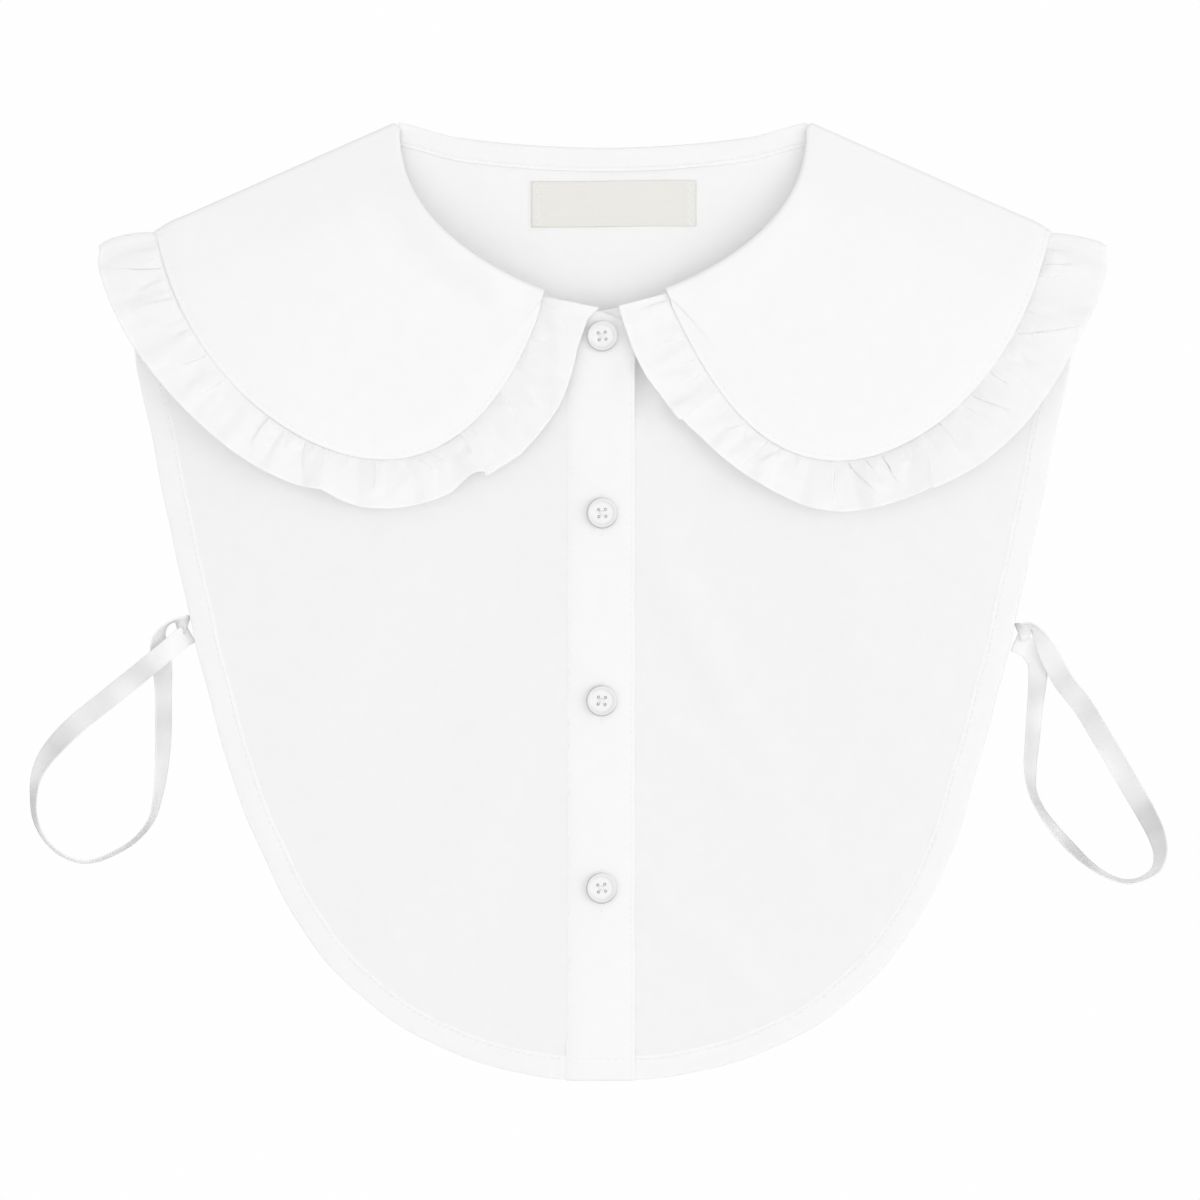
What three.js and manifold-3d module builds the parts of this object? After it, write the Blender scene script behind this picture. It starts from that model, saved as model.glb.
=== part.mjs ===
// A detachable blouse collar lying face up on a table, as separate sewn pieces: two front panels
// joined by a button placket, a back bib, a flat round collar leaf that turns over both shoulders,
// the gathered ruffle on its edge, the neck facing, a blank label, four buttons and a ribbon loop
// at each side.
// Millimetres, X to the right and Y towards the back neck as one looks down on it, Z up from the
// table. The origin is on the table, under the middle of the garment without its ribbons.
import * as THREE from 'three';
import { mergeVertices } from 'three/addons/utils/BufferGeometryUtils.js';
import Module from 'manifold-3d';

const wasm = await Module();
wasm.setup();

const { clamp, degToRad, lerp, smoothstep } = THREE.MathUtils;

// Cloth, hems and the air between layers
const CLOTH = 1.0;
const HEM_WALL = 1.4;
const HEM_WIDTH = 8;
const HEM_STEP = 1;
const GAP = 0.3;
const LAYER = (CLOTH + HEM_WALL) / 2 + GAP;

// Neckline and shoulder fold, on the half with positive x
const NECK_END = vec2(72.7, 167.9);
const NECK_SIDE_HANDLE = vec2(75.2, 137);
const NECK_FRONT_HANDLE = vec2(38, 112.8);
const FRONT_NECK_Y = 105.2;
const BACK_NECK_Y = 162.4;
const BACK_NECK_RISE = 7.2;
const LEAF_TIP = vec2(159.9, 129.3);

// Heights of the layers, each to the middle of its cloth
const BIB_FOLD_RADIUS = 1.2;
const RUFFLE_FOLD_RADIUS = BIB_FOLD_RADIUS + LAYER;
const LEAF_FOLD_RADIUS = RUFFLE_FOLD_RADIUS + LAYER;
const SHOULDER_Z = LEAF_FOLD_RADIUS + CLOTH / 2;
const BACK_BIB_HIGH_Z = SHOULDER_Z - BIB_FOLD_RADIUS;
const BACK_BIB_LOW_Z = HEM_WALL / 2;
const BACK_STEP_Y = { low: -60, high: 20 };
const CHEST_PUFF = 5.5;
const HEM_PUFF = 2.5;
const PUFF_Y = { low: -60, high: 60 };
const PUFF_REACH = 60;

// Bib outline, on the half with positive x
const BIB_SHOULDER_SHARE = 0.88;
const BIB_SHOULDER_HANDLE = vec2(171.5, 112);
const BIB_ARMHOLE = vec2(169.5, 84);
const BIB_WAIST = vec2(149.8, 0);
const BIB_SIDE_HANDLE = vec2(127.8, -100);
const BIB_BOTTOM_HANDLE_X = 100;
const BIB_BOTTOM_Y = -172.4;
const BIB_FAN_Y = -60;
const BIB_NECK_SETBACK = 1.5;
const BACK_BIB_INSET = 2;

// Button placket, which covers the meeting edges of the two front panels
const PLACKET = { left: -13.3, right: 11.5, wall: 1.2, topLeft: 105, topRight: 99.5, bottom: -172.8 };
const LEFT_PANEL_EDGE = -9;
const RIGHT_PANEL_EDGE = -6;

// Collar leaf
const ROLL_RADIUS = 1.6;
const ROLL_TURNS = [110, 70, 35];
const LEAF_TIP_HANDLE = vec2(150, 82);
const LEAF_BOTTOM_REACH = 31;
const LEAF_FRONTS = {
  left: { corner: vec2(21.2, 108.7), cornerHandle: vec2(29.5, 81), bottom: vec2(78.8, 50.4) },
  right: { corner: vec2(22.7, 109.9), cornerHandle: vec2(36, 80.8), bottom: vec2(84, 50) },
};
const LEAF_LAST_ROW = 5;
const BACK_LEAF = { tipHandle: vec2(152, 96), lowHandleX: 70, lowY: 67.4 };

// Ruffle: its width at stations along the leaf's edge, in millimetres from the front corner
const RUFFLE_TUCK = 4;
const RUFFLE_FOLD_TURN = 13;
const RUFFLE_FOLD_REACH = 14;
const RUFFLE_FRONT_REACH = 16;
const RUFFLE_FRONT_ENDS = { left: vec2(-0.961, -0.277), right: vec2(-0.978, -0.208) };
const RUFFLE_SHARES = [0.4, 0.7, 1];
const RUFFLE_CLIMB = { from: 7.5, to: 1.5, clear: 0.6 };
const BACK_RUFFLE_WIDTH = 18;
const RUFFLE_WIDTHS = {
  left: [
    { along: 0, width: 19.7 },
    { along: 4, width: 17.2 },
    { along: 12, width: 17.2 },
    { along: 22, width: 19.4 },
    { along: 31, width: 20.7 },
    { along: 49, width: 20 },
    { along: 58, width: 17.8 },
    { along: 62, width: 14.6 },
    { along: 70, width: 16.9 },
    { along: 94, width: 17.5 },
    { along: 106, width: 14.2 },
    { along: 113, width: 16.1 },
    { along: 126, width: 17.3 },
    { along: 150, width: 18.4 },
    { along: 166, width: 19.8 },
    { along: 182, width: 21.7 },
    { along: 203, width: 22.8 },
    { along: 210, width: 21 },
  ],
  right: [
    { along: 0, width: 16.6 },
    { along: 14, width: 19.5 },
    { along: 22, width: 19.6 },
    { along: 38, width: 18 },
    { along: 48, width: 15.6 },
    { along: 70, width: 15.1 },
    { along: 84, width: 17.5 },
    { along: 92, width: 18.3 },
    { along: 116, width: 18 },
    { along: 133, width: 20.7 },
    { along: 149, width: 21.6 },
    { along: 187, width: 21.7 },
    { along: 201, width: 22.9 },
    { along: 210, width: 20.8 },
  ],
};

// The ruffle's main folds: place along the leaf's edge from the front corner, height at the free
// edge, width, and the share of that height that is left at the seam.
const RUFFLE_FOLDS = {
  left: [
    { along: 7, high: 1.6, wide: 9, seam: 0.6 },
    { along: 24, high: 1.3, wide: 8, seam: 0.7 },
    { along: 40, high: 2.2, wide: 9, seam: 0.5 },
    { along: 60, high: 2.6, wide: 10, seam: 0.3 },
    { along: 76, high: 1.3, wide: 8, seam: 0.7 },
    { along: 91, high: 2.0, wide: 9, seam: 0.5 },
    { along: 108, high: 2.4, wide: 9, seam: 0.4 },
    { along: 122, high: 1.5, wide: 8, seam: 0.6 },
    { along: 138, high: 2.1, wide: 9, seam: 0.5 },
    { along: 156, high: 1.4, wide: 9, seam: 0.6 },
    { along: 172, high: 1.6, wide: 9, seam: 0.5 },
    { along: 189, high: 1.4, wide: 9, seam: 0.6 },
    { along: 203, high: 1.7, wide: 8, seam: 0.5 },
  ],
  right: [
    { along: 6, high: 1.3, wide: 9, seam: 0.6 },
    { along: 21, high: 1.5, wide: 8, seam: 0.7 },
    { along: 38, high: 2.3, wide: 10, seam: 0.4 },
    { along: 54, high: 1.5, wide: 8, seam: 0.6 },
    { along: 69, high: 2.2, wide: 9, seam: 0.4 },
    { along: 85, high: 2.0, wide: 9, seam: 0.5 },
    { along: 101, high: 2.4, wide: 9, seam: 0.5 },
    { along: 119, high: 2.5, wide: 9, seam: 0.4 },
    { along: 136, high: 1.8, wide: 9, seam: 0.6 },
    { along: 152, high: 1.5, wide: 8, seam: 0.6 },
    { along: 169, high: 2.2, wide: 10, seam: 0.4 },
    { along: 187, high: 1.5, wide: 9, seam: 0.6 },
    { along: 202, high: 1.8, wide: 8, seam: 0.5 },
  ],
};
const BACK_FOLD = { pitch: 17, deep: 1.1, wide: 10, seam: 0.3 };

// Neck facing and label, on the inside of the back bib
const FACING = { width: 8.2, endX: 70.5, wall: 0.8 };
const LABEL = { width: 59, height: 16.3, wall: 0.8, centreX: 3.9, centreY: 142.5 };

// Buttons
const BUTTON = { radius: 5.6, rim: 4.3, height: 2.2, dish: 0.7, edge: 0.5 };
const THREAD_HOLE = { radius: 0.75, pitch: 2.5, sides: 6 };
const BUTTON_X = -0.8;
const BUTTON_YS = [95, 31.3, -36.4, -103.7];

// Satin ribbon loops. A row of a route gives the middle of the ribbon, how far it is turned up on
// its edge in degrees, and how far it is lifted off the table by what lies under it.
const RIBBON = { width: 7, wall: 0.6, chamfer: 0.25, steps: 38 };
const RIBBON_ROUTES = {
  left: [
    { x: -149.4, y: -9, roll: 0, lift: 2.6 },
    { x: -151.2, y: -8.4, roll: -35, lift: 1.2 },
    { x: -153.6, y: -7.3, roll: -78, lift: 0.3 },
    { x: -156.6, y: -8.4, roll: -84, lift: 0 },
    { x: -159.2, y: -11.8, roll: -66, lift: 0 },
    { x: -159.8, y: -16.4, roll: -30, lift: 0 },
    { x: -158.9, y: -21.6, roll: -12, lift: 0 },
    { x: -158.3, y: -31.9, roll: -36, lift: 0 },
    { x: -158.2, y: -43.2, roll: -38, lift: 0 },
    { x: -158.4, y: -53.3, roll: -44, lift: 0 },
    { x: -159.3, y: -63.9, roll: -57, lift: 0 },
    { x: -160.4, y: -71.1, roll: -67, lift: 0 },
    { x: -162.2, y: -78.1, roll: -75, lift: 0 },
    { x: -167.5, y: -85.3, roll: -79, lift: 0 },
    { x: -174.7, y: -90.3, roll: -80, lift: 0 },
    { x: -186.1, y: -94, roll: -81, lift: 0 },
    { x: -194.6, y: -91.4, roll: -80, lift: 0 },
    { x: -201, y: -85.3, roll: -78, lift: 0 },
    { x: -204.2, y: -78.1, roll: -75, lift: 0 },
    { x: -204.7, y: -71.1, roll: -70, lift: 0 },
    { x: -203.8, y: -64, roll: -57, lift: 0 },
    { x: -201, y: -57.6, roll: -38, lift: 0 },
    { x: -196, y: -51.1, roll: -18, lift: 0 },
    { x: -188.9, y: -44.1, roll: -5, lift: 0 },
    { x: -181.8, y: -38.4, roll: 0, lift: 0.3 },
    { x: -174.7, y: -32.7, roll: 0, lift: 1 },
    { x: -167.5, y: -27, roll: 0, lift: 2.8 },
    { x: -160.4, y: -21.2, roll: 0, lift: 4.7 },
    { x: -155, y: -16.8, roll: 0, lift: 4.4 },
    { x: -151.2, y: -13.6, roll: 0, lift: 2.9 },
    { x: -148.4, y: -12, roll: 0, lift: 1.6 },
  ],
  right: [
    { x: 149.4, y: -11.8, roll: 0, lift: 2.6 },
    { x: 151.2, y: -11, roll: 30, lift: 1.6 },
    { x: 153.4, y: -9.4, roll: 66, lift: 0.8 },
    { x: 156.4, y: -9.8, roll: 70, lift: 0.6 },
    { x: 158.9, y: -12.4, roll: 52, lift: 1 },
    { x: 160.6, y: -16.6, roll: 24, lift: 2.4 },
    { x: 162.8, y: -21.4, roll: 6, lift: 2 },
    { x: 167.2, y: -29.2, roll: 0, lift: 0.8 },
    { x: 172.4, y: -37.8, roll: 0, lift: 0.2 },
    { x: 178.6, y: -47.9, roll: 0, lift: 0 },
    { x: 184.6, y: -58, roll: 0, lift: 0 },
    { x: 190.4, y: -68, roll: 4, lift: 0 },
    { x: 195.6, y: -77, roll: 14, lift: 0 },
    { x: 199.2, y: -84.6, roll: 32, lift: 0 },
    { x: 200.6, y: -91.4, roll: 52, lift: 0 },
    { x: 199, y: -97, roll: 68, lift: 0 },
    { x: 194.8, y: -100.2, roll: 78, lift: 0 },
    { x: 188.8, y: -101.6, roll: 80, lift: 0 },
    { x: 181.8, y: -99.6, roll: 78, lift: 0 },
    { x: 175.2, y: -95.4, roll: 72, lift: 0 },
    { x: 168.2, y: -89, roll: 62, lift: 0 },
    { x: 162.2, y: -82.4, roll: 62, lift: 0 },
    { x: 157.6, y: -76, roll: 68, lift: 0 },
    { x: 154.4, y: -69, roll: 66, lift: 0 },
    { x: 153.6, y: -60, roll: 50, lift: 0 },
    { x: 154.4, y: -50, roll: 42, lift: 0 },
    { x: 155.2, y: -40, roll: 38, lift: 0 },
    { x: 156.2, y: -30, roll: 24, lift: 0 },
    { x: 156.2, y: -22, roll: 4, lift: 0.1 },
    { x: 152.6, y: -17, roll: 0, lift: 0.5 },
    { x: 148.2, y: -15, roll: 0, lift: 1.6 },
  ],
};

function vec2(x, y) {
  return new THREE.Vector2(x, y);
}

// The shoulder fold runs along one line, and the cloth bulges out past it.
const SHOULDER_ALONG = LEAF_TIP.clone().sub(NECK_END).normalize();
const SHOULDER_OUT = vec2(-SHOULDER_ALONG.y, SHOULDER_ALONG.x);
const RUFFLE_FOLD_ALONG = SHOULDER_ALONG.clone().rotateAround(vec2(0, 0), degToRad(RUFFLE_FOLD_TURN));
const RUFFLE_FOLD_OUT = vec2(-RUFFLE_FOLD_ALONG.y, RUFFLE_FOLD_ALONG.x);

const FRONT_NECK = vec2(0, FRONT_NECK_Y);
const neckline = new THREE.CubicBezierCurve(NECK_END, NECK_SIDE_HANDLE, NECK_FRONT_HANDLE, FRONT_NECK);
const backNeckY = (x) => BACK_NECK_Y + BACK_NECK_RISE * (x / NECK_END.x) ** 2;

// A point of the bib's neck seam at the front, u from 0 at the shoulder to 1 at the front.
function bibNeckPoint(u) {
  if (u === 0) return NECK_END.clone().addScaledVector(SHOULDER_ALONG, BIB_NECK_SETBACK);
  return neckline.getPointAt(u).addScaledVector(outwardNormal(neckline, u), BIB_NECK_SETBACK);
}

// The normal on the left of a curve's direction, which is outwards on all the outlines here.
function outwardNormal(curve, u) {
  const tangent = curve.getTangentAt(u);
  return vec2(-tangent.y, tangent.x);
}

// The share of a curve at which its falling x reaches the given one.
function shareAtX(curve, x) {
  let low = 0;
  let high = 1;
  for (let i = 0; i < 24; i++) {
    const middle = (low + high) / 2;
    if (curve.getPointAt(middle).x > x) low = middle;
    else high = middle;
  }
  return low;
}

// The bib's edge from the shoulder seam, down the armhole side and round to the middle of the hem.
function bibEdge(inset) {
  const scale = 1 - inset / BIB_ARMHOLE.x;
  const bottomY = BIB_BOTTOM_Y + inset;
  const narrowed = (p) => vec2(p.x * scale, p.y);
  const shoulder = NECK_END.clone().lerp(LEAF_TIP, BIB_SHOULDER_SHARE);
  const armhole = narrowed(BIB_ARMHOLE);
  const waist = narrowed(BIB_WAIST);
  const bottomHandle = narrowed(vec2(BIB_BOTTOM_HANDLE_X, bottomY));
  const path = new THREE.CurvePath();
  path.add(new THREE.QuadraticBezierCurve(shoulder, narrowed(BIB_SHOULDER_HANDLE), armhole));
  path.add(new THREE.LineCurve(armhole, waist));
  path.add(new THREE.CubicBezierCurve(waist, narrowed(BIB_SIDE_HANDLE), bottomHandle, vec2(0, bottomY)));
  return path;
}

const edgePoints = bibEdge(0).getSpacedPoints(60).map((p) => new THREE.Vector3(p.x, p.y, 0));
const EDGE_SEGMENTS = edgePoints.slice(1).map((end, i) => new THREE.Line3(edgePoints[i], end));

// How far a point lies in from the bib's outer edge, or 0 outside it.
function depthFromEdge(x, y) {
  const point = new THREE.Vector3(Math.abs(x), y, 0);
  let best = { distance: Infinity, inside: true };
  for (const segment of EDGE_SEGMENTS) {
    const distance = segment.closestPointToPoint(point, true, new THREE.Vector3()).distanceTo(point);
    if (distance < best.distance) {
      const run = segment.delta(new THREE.Vector3());
      const turn = run.x * (point.y - segment.start.y) - run.y * (point.x - segment.start.x);
      best = { distance, inside: turn < 0 };
    }
  }
  return best.inside ? best.distance : 0;
}

// How far a point lies in from the line of the shoulder folds.
function depthFromShoulder(x, y) {
  return Math.max(0, -vec2(Math.abs(x), y).sub(NECK_END).dot(SHOULDER_OUT));
}

// The back bib lies on the table at its hem, and over the back of the collar above that.
function backZ(x, y) {
  return lerp(BACK_BIB_LOW_Z, BACK_BIB_HIGH_Z, smoothstep(y, BACK_STEP_Y.low, BACK_STEP_Y.high));
}

// The front panels are softly puffed up away from their edges.
function frontZ(x, y) {
  const rounded = (depth) => 1 - (1 - Math.min(depth / PUFF_REACH, 1)) ** 2;
  const puff = lerp(HEM_PUFF, CHEST_PUFF, smoothstep(y, PUFF_Y.low, PUFF_Y.high));
  const share = rounded(depthFromEdge(x, y)) * rounded(depthFromShoulder(x, y));
  return backZ(x, y) + 2 * BIB_FOLD_RADIUS + puff * share;
}

const PLACKET_LIFT = HEM_WALL / 2 + GAP + PLACKET.wall / 2;
const RUFFLE_OVER_PLACKET = PLACKET_LIFT + PLACKET.wall / 2 + RUFFLE_CLIMB.clear + CLOTH / 2 - LAYER;

// The ruffle lies one layer above the front panels, and climbs over the placket's edges.
function ruffleSeatZ(x, y) {
  const beside = Math.max(PLACKET.left - x, x - PLACKET.right, 0);
  const climb = 1 - smoothstep(beside, RUFFLE_CLIMB.to, RUFFLE_CLIMB.from);
  return frontZ(x, y) + LAYER + RUFFLE_OVER_PLACKET * climb;
}

// A closed solid from a grid of points on the middle of a piece of cloth. The wall is a number of
// millimetres, or a function of the column.
function clothSolid(grid, wall) {
  const rows = grid.length;
  const columns = grid[0].length;
  const wallAt = typeof wall === 'function' ? wall : () => wall;
  const pointAt = (r, c) => grid[clamp(r, 0, rows - 1)][clamp(c, 0, columns - 1)];
  const positions = [];
  for (const face of [0.5, -0.5]) {
    for (let r = 0; r < rows; r++) {
      for (let c = 0; c < columns; c++) {
        const alongRow = pointAt(r, c + 1).clone().sub(pointAt(r, c - 1));
        const alongColumn = pointAt(r + 1, c).clone().sub(pointAt(r - 1, c));
        const normal = alongRow.cross(alongColumn).normalize();
        const corner = grid[r][c].clone().addScaledVector(normal, face * wallAt(c));
        positions.push(corner.x, corner.y, corner.z);
      }
    }
  }
  const index = [];
  const quad = (a, b, c, d) => index.push(a, b, c, a, c, d);
  const front = (r, c) => r * columns + c;
  const back = (r, c) => (rows + r) * columns + c;
  const lastRow = rows - 1;
  const lastColumn = columns - 1;
  for (let r = 0; r < lastRow; r++) {
    for (let c = 0; c < lastColumn; c++) {
      quad(front(r, c), front(r, c + 1), front(r + 1, c + 1), front(r + 1, c));
      quad(back(r, c), back(r + 1, c), back(r + 1, c + 1), back(r, c + 1));
    }
    quad(front(r, 0), front(r + 1, 0), back(r + 1, 0), back(r, 0));
    quad(front(r + 1, lastColumn), front(r, lastColumn), back(r, lastColumn), back(r + 1, lastColumn));
  }
  for (let c = 0; c < lastColumn; c++) {
    quad(front(0, c + 1), front(0, c), back(0, c), back(0, c + 1));
    quad(front(lastRow, c), front(lastRow, c + 1), back(lastRow, c + 1), back(lastRow, c));
  }
  return facingOut(positions, index);
}

// A geometry with its triangles turned over if they enclose a negative volume.
function facingOut(positions, index) {
  const corner = (i) => new THREE.Vector3().fromArray(positions, 3 * i);
  let volume = 0;
  for (let i = 0; i < index.length; i += 3) {
    volume += corner(index[i]).dot(corner(index[i + 1]).cross(corner(index[i + 2])));
  }
  const geometry = new THREE.BufferGeometry();
  geometry.setAttribute('position', new THREE.Float32BufferAttribute(positions, 3));
  geometry.setIndex(volume > 0 ? index : index.toReversed());
  geometry.computeVertexNormals();
  return geometry;
}

function toManifold(geometry) {
  const bare = geometry.clone();
  bare.deleteAttribute('normal');
  bare.deleteAttribute('uv');
  const merged = mergeVertices(bare, 1e-4);
  return new wasm.Manifold(new wasm.Mesh({
    numProp: 3,
    vertProperties: new Float32Array(merged.getAttribute('position').array),
    triVerts: withoutSlivers([...merged.index.array]),
  }));
}

// The triangles that have three different corners, which leaves out those at a lathe's poles.
function withoutSlivers(index) {
  const kept = [];
  for (let i = 0; i < index.length; i += 3) {
    const [a, b, c] = index.slice(i, i + 3);
    if (a !== b && b !== c && c !== a) kept.push(a, b, c);
  }
  return new Uint32Array(kept);
}

function fromManifold(solid) {
  const mesh = solid.getMesh();
  const geometry = new THREE.BufferGeometry();
  geometry.setAttribute('position', new THREE.Float32BufferAttribute(mesh.vertProperties, 3));
  geometry.setIndex([...mesh.triVerts]);
  geometry.computeVertexNormals();
  return geometry;
}

const mirroredGrid = (grid) => grid.map((row) => row.map((p) => new THREE.Vector3(-p.x, p.y, p.z)));

const BIB_COLUMNS = 8;
const bibWall = (column) => (column >= BIB_COLUMNS - 1 ? HEM_WALL : CLOTH);

// Shares along a bib row: even steps, then the step up to the hem and the edge.
function bibShares(span) {
  const plain = BIB_COLUMNS - 2;
  const hemStart = 1 - (HEM_WIDTH + HEM_STEP) / span;
  const even = Array.from({ length: plain + 1 }, (_, c) => hemStart * c / plain);
  return [...even, 1 - HEM_WIDTH / span, 1];
}

function bibRow(inner, outer, place) {
  return bibShares(inner.distanceTo(outer)).map((share) => place(inner.clone().lerp(outer, share), 0));
}

// How a point of a flat pattern, h above its layer, is placed on the front, in a shoulder fold
// and on the back.
const onSurface = (height, mirror) => (p, h) => new THREE.Vector3(p.x, p.y, height(mirror * p.x, p.y) + h);
const onBack = (radius) => (p, h) => new THREE.Vector3(p.x, p.y, SHOULDER_Z - radius - h);
const inFold = (radius, out, angle) => (p, h) => {
  const at = p.clone().addScaledVector(out, (radius + h) * Math.sin(angle));
  return new THREE.Vector3(at.x, at.y, SHOULDER_Z + (radius + h) * Math.cos(angle));
};
const foldAngles = (count) => Array.from({ length: count }, (_, i) => Math.PI * (i + 1) / (count + 1));

// Rows of a bib that turn towards the shoulder seam, from the seam to where the bib is flat. They
// are given in degrees from the front.
function seamRows(outer, turns) {
  return turns.map((turn) => {
    const place = inFold(BIB_FOLD_RADIUS, SHOULDER_OUT, degToRad(turn));
    return bibRow(bibNeckPoint(0), outer, place);
  });
}

// A front panel is a fan of rows, from the neckline and then its centre edge, out to the bib edge.
function frontPanel(side) {
  const mirror = side === 'left' ? -1 : 1;
  const edgeX = side === 'left' ? -LEFT_PANEL_EDGE : RIGHT_PANEL_EDGE;
  const rows = 24;
  const neckRows = 11;
  const edge = bibEdge(0);
  if (edgeX < 0) edge.add(new THREE.LineCurve(vec2(0, BIB_BOTTOM_Y), vec2(edgeX, BIB_BOTTOM_Y)));
  const edgeEnd = shareAtX(edge, edgeX);
  const neckShare = shareAtX(neckline, edgeX);
  const neckStop = bibNeckPoint(neckShare);
  const place = onSurface(frontZ, mirror);
  const grid = seamRows(edge.getPointAt(0), [58, 40, 20]);
  for (let r = 0; r <= rows; r++) {
    const down = (r - neckRows) / (rows - neckRows);
    const inner = r <= neckRows
      ? bibNeckPoint(r / neckRows * neckShare)
      : vec2(edgeX, lerp(neckStop.y, BIB_FAN_Y, down));
    grid.push(bibRow(inner, edge.getPointAt(r / rows * edgeEnd), place));
  }
  return clothSolid(mirror < 0 ? mirroredGrid(grid) : grid, bibWall);
}

// The back bib is one fan, from the back neckline out to the whole edge.
function backBib() {
  const rows = 14;
  const edge = bibEdge(BACK_BIB_INSET);
  const neckX = bibNeckPoint(0).x;
  const half = seamRows(edge.getPointAt(0), [122, 140, 160]);
  for (let r = 0; r <= rows; r++) {
    const x = neckX * (1 - r / rows);
    const inner = r === 0 ? bibNeckPoint(0) : vec2(x, backNeckY(x) - BIB_NECK_SETBACK);
    half.push(bibRow(inner, edge.getPointAt(r / rows), onSurface(backZ, 1)));
  }
  return clothSolid([...half, ...mirroredGrid(half).reverse().slice(1)], bibWall);
}

function placket() {
  const rows = 24;
  const columns = 3;
  const grid = [];
  for (let r = 0; r <= rows; r++) {
    const row = [];
    for (let c = 0; c <= columns; c++) {
      const x = lerp(PLACKET.left, PLACKET.right, c / columns);
      const y = lerp(lerp(PLACKET.topLeft, PLACKET.topRight, c / columns), PLACKET.bottom, r / rows);
      row.push(new THREE.Vector3(x, y, frontZ(x, y) + PLACKET_LIFT));
    }
    grid.push(row);
  }
  return clothSolid(grid, PLACKET.wall);
}

// The leaf's front outline on one side, from the tip at the shoulder to the corner at the neckline.
function leafFrontEdge(side) {
  const { corner, cornerHandle, bottom } = LEAF_FRONTS[side];
  const reach = vec2(LEAF_BOTTOM_REACH, 0);
  const path = new THREE.CurvePath();
  path.add(new THREE.CubicBezierCurve(LEAF_TIP, LEAF_TIP_HANDLE, bottom.clone().add(reach), bottom));
  path.add(new THREE.CubicBezierCurve(bottom, bottom.clone().sub(reach), cornerHandle, corner));
  return path;
}

const leafBackEdge = new THREE.CubicBezierCurve(
  LEAF_TIP, BACK_LEAF.tipHandle, vec2(BACK_LEAF.lowHandleX, BACK_LEAF.lowY), vec2(0, BACK_LEAF.lowY));

// Joins the rows of two halves, each made with positive x and listed from its front end to the
// middle of the back, where both have the same row.
const wholeCollar = (left, right) => [...mirroredGrid(left), ...right.toReversed().slice(1)];

// One row of the leaf, rolled over at the neckline and flat to its edge.
function leafRow(inner, outer, place) {
  const flatColumns = 4;
  const along = outer.clone().sub(inner).normalize();
  const span = inner.distanceTo(outer);
  const rolled = ROLL_TURNS.map((turn) => {
    const angle = degToRad(turn);
    const at = inner.clone().addScaledVector(along, ROLL_RADIUS * (1 - Math.sin(angle)));
    return place(at, -ROLL_RADIUS * (1 - Math.cos(angle)));
  });
  const flat = Array.from({ length: flatColumns + 1 }, (_, c) => {
    const distance = lerp(ROLL_RADIUS, span, c / flatColumns);
    return place(inner.clone().addScaledVector(along, distance), 0);
  });
  return [...rolled, ...flat];
}

function leafHalf(side) {
  const mirror = side === 'left' ? -1 : 1;
  const frontRows = 13;
  const backRows = 8;
  const edge = leafFrontEdge(side);
  const edgeEnd = 1 - LEAF_LAST_ROW / edge.getLength();
  const neckShare = shareAtX(neckline, LEAF_FRONTS[side].corner.x);
  const onFront = onSurface((x, y) => frontZ(x, y) + 2 * LAYER, mirror);
  const rows = [];
  for (let r = frontRows; r >= 0; r--) {
    const share = r / frontRows;
    rows.push(leafRow(neckline.getPointAt(share * neckShare), edge.getPointAt(share * edgeEnd), onFront));
  }
  for (const angle of foldAngles(5)) {
    rows.push(leafRow(NECK_END, LEAF_TIP, inFold(LEAF_FOLD_RADIUS, SHOULDER_OUT, angle)));
  }
  for (let r = 0; r <= backRows; r++) {
    const x = NECK_END.x * (1 - r / backRows);
    const outer = leafBackEdge.getPointAt(r / backRows);
    rows.push(leafRow(vec2(x, backNeckY(x)), outer, onBack(LEAF_FOLD_RADIUS)));
  }
  return rows;
}

const collarLeaf = () => clothSolid(wholeCollar(leafHalf('left'), leafHalf('right')), CLOTH);

// The ruffle's width at a distance along the leaf's edge from the front corner.
function ruffleWidth(side, along) {
  const widths = RUFFLE_WIDTHS[side];
  const next = widths.findIndex((station) => station.along > along);
  const [from, to] = [widths[next - 1], widths[next]];
  return lerp(from.width, to.width, (along - from.along) / (to.along - from.along));
}

// The height of the folds at one place along the edge, at the seam and at the free edge.
function foldHeights(folds, along) {
  const total = { seam: 0, free: 0 };
  for (const fold of folds) {
    const offset = (along - fold.along) / fold.wide;
    if (Math.abs(offset) < 0.5) {
      const high = fold.high * Math.cos(Math.PI * offset) ** 2;
      total.free += high;
      total.seam += high * fold.seam;
    }
  }
  return total;
}

// One row of the ruffle: tucked flat under the leaf's edge, then out over its folds.
function ruffleRow(base, out, width, folds, place) {
  const tucked = [-RUFFLE_TUCK, 0].map((distance) => place(base.clone().addScaledVector(out, distance), 0));
  const free = RUFFLE_SHARES.map((share) => {
    const at = base.clone().addScaledVector(out, width * share);
    return place(at, lerp(folds.seam, folds.free, share));
  });
  return [...tucked, ...free];
}

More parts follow.
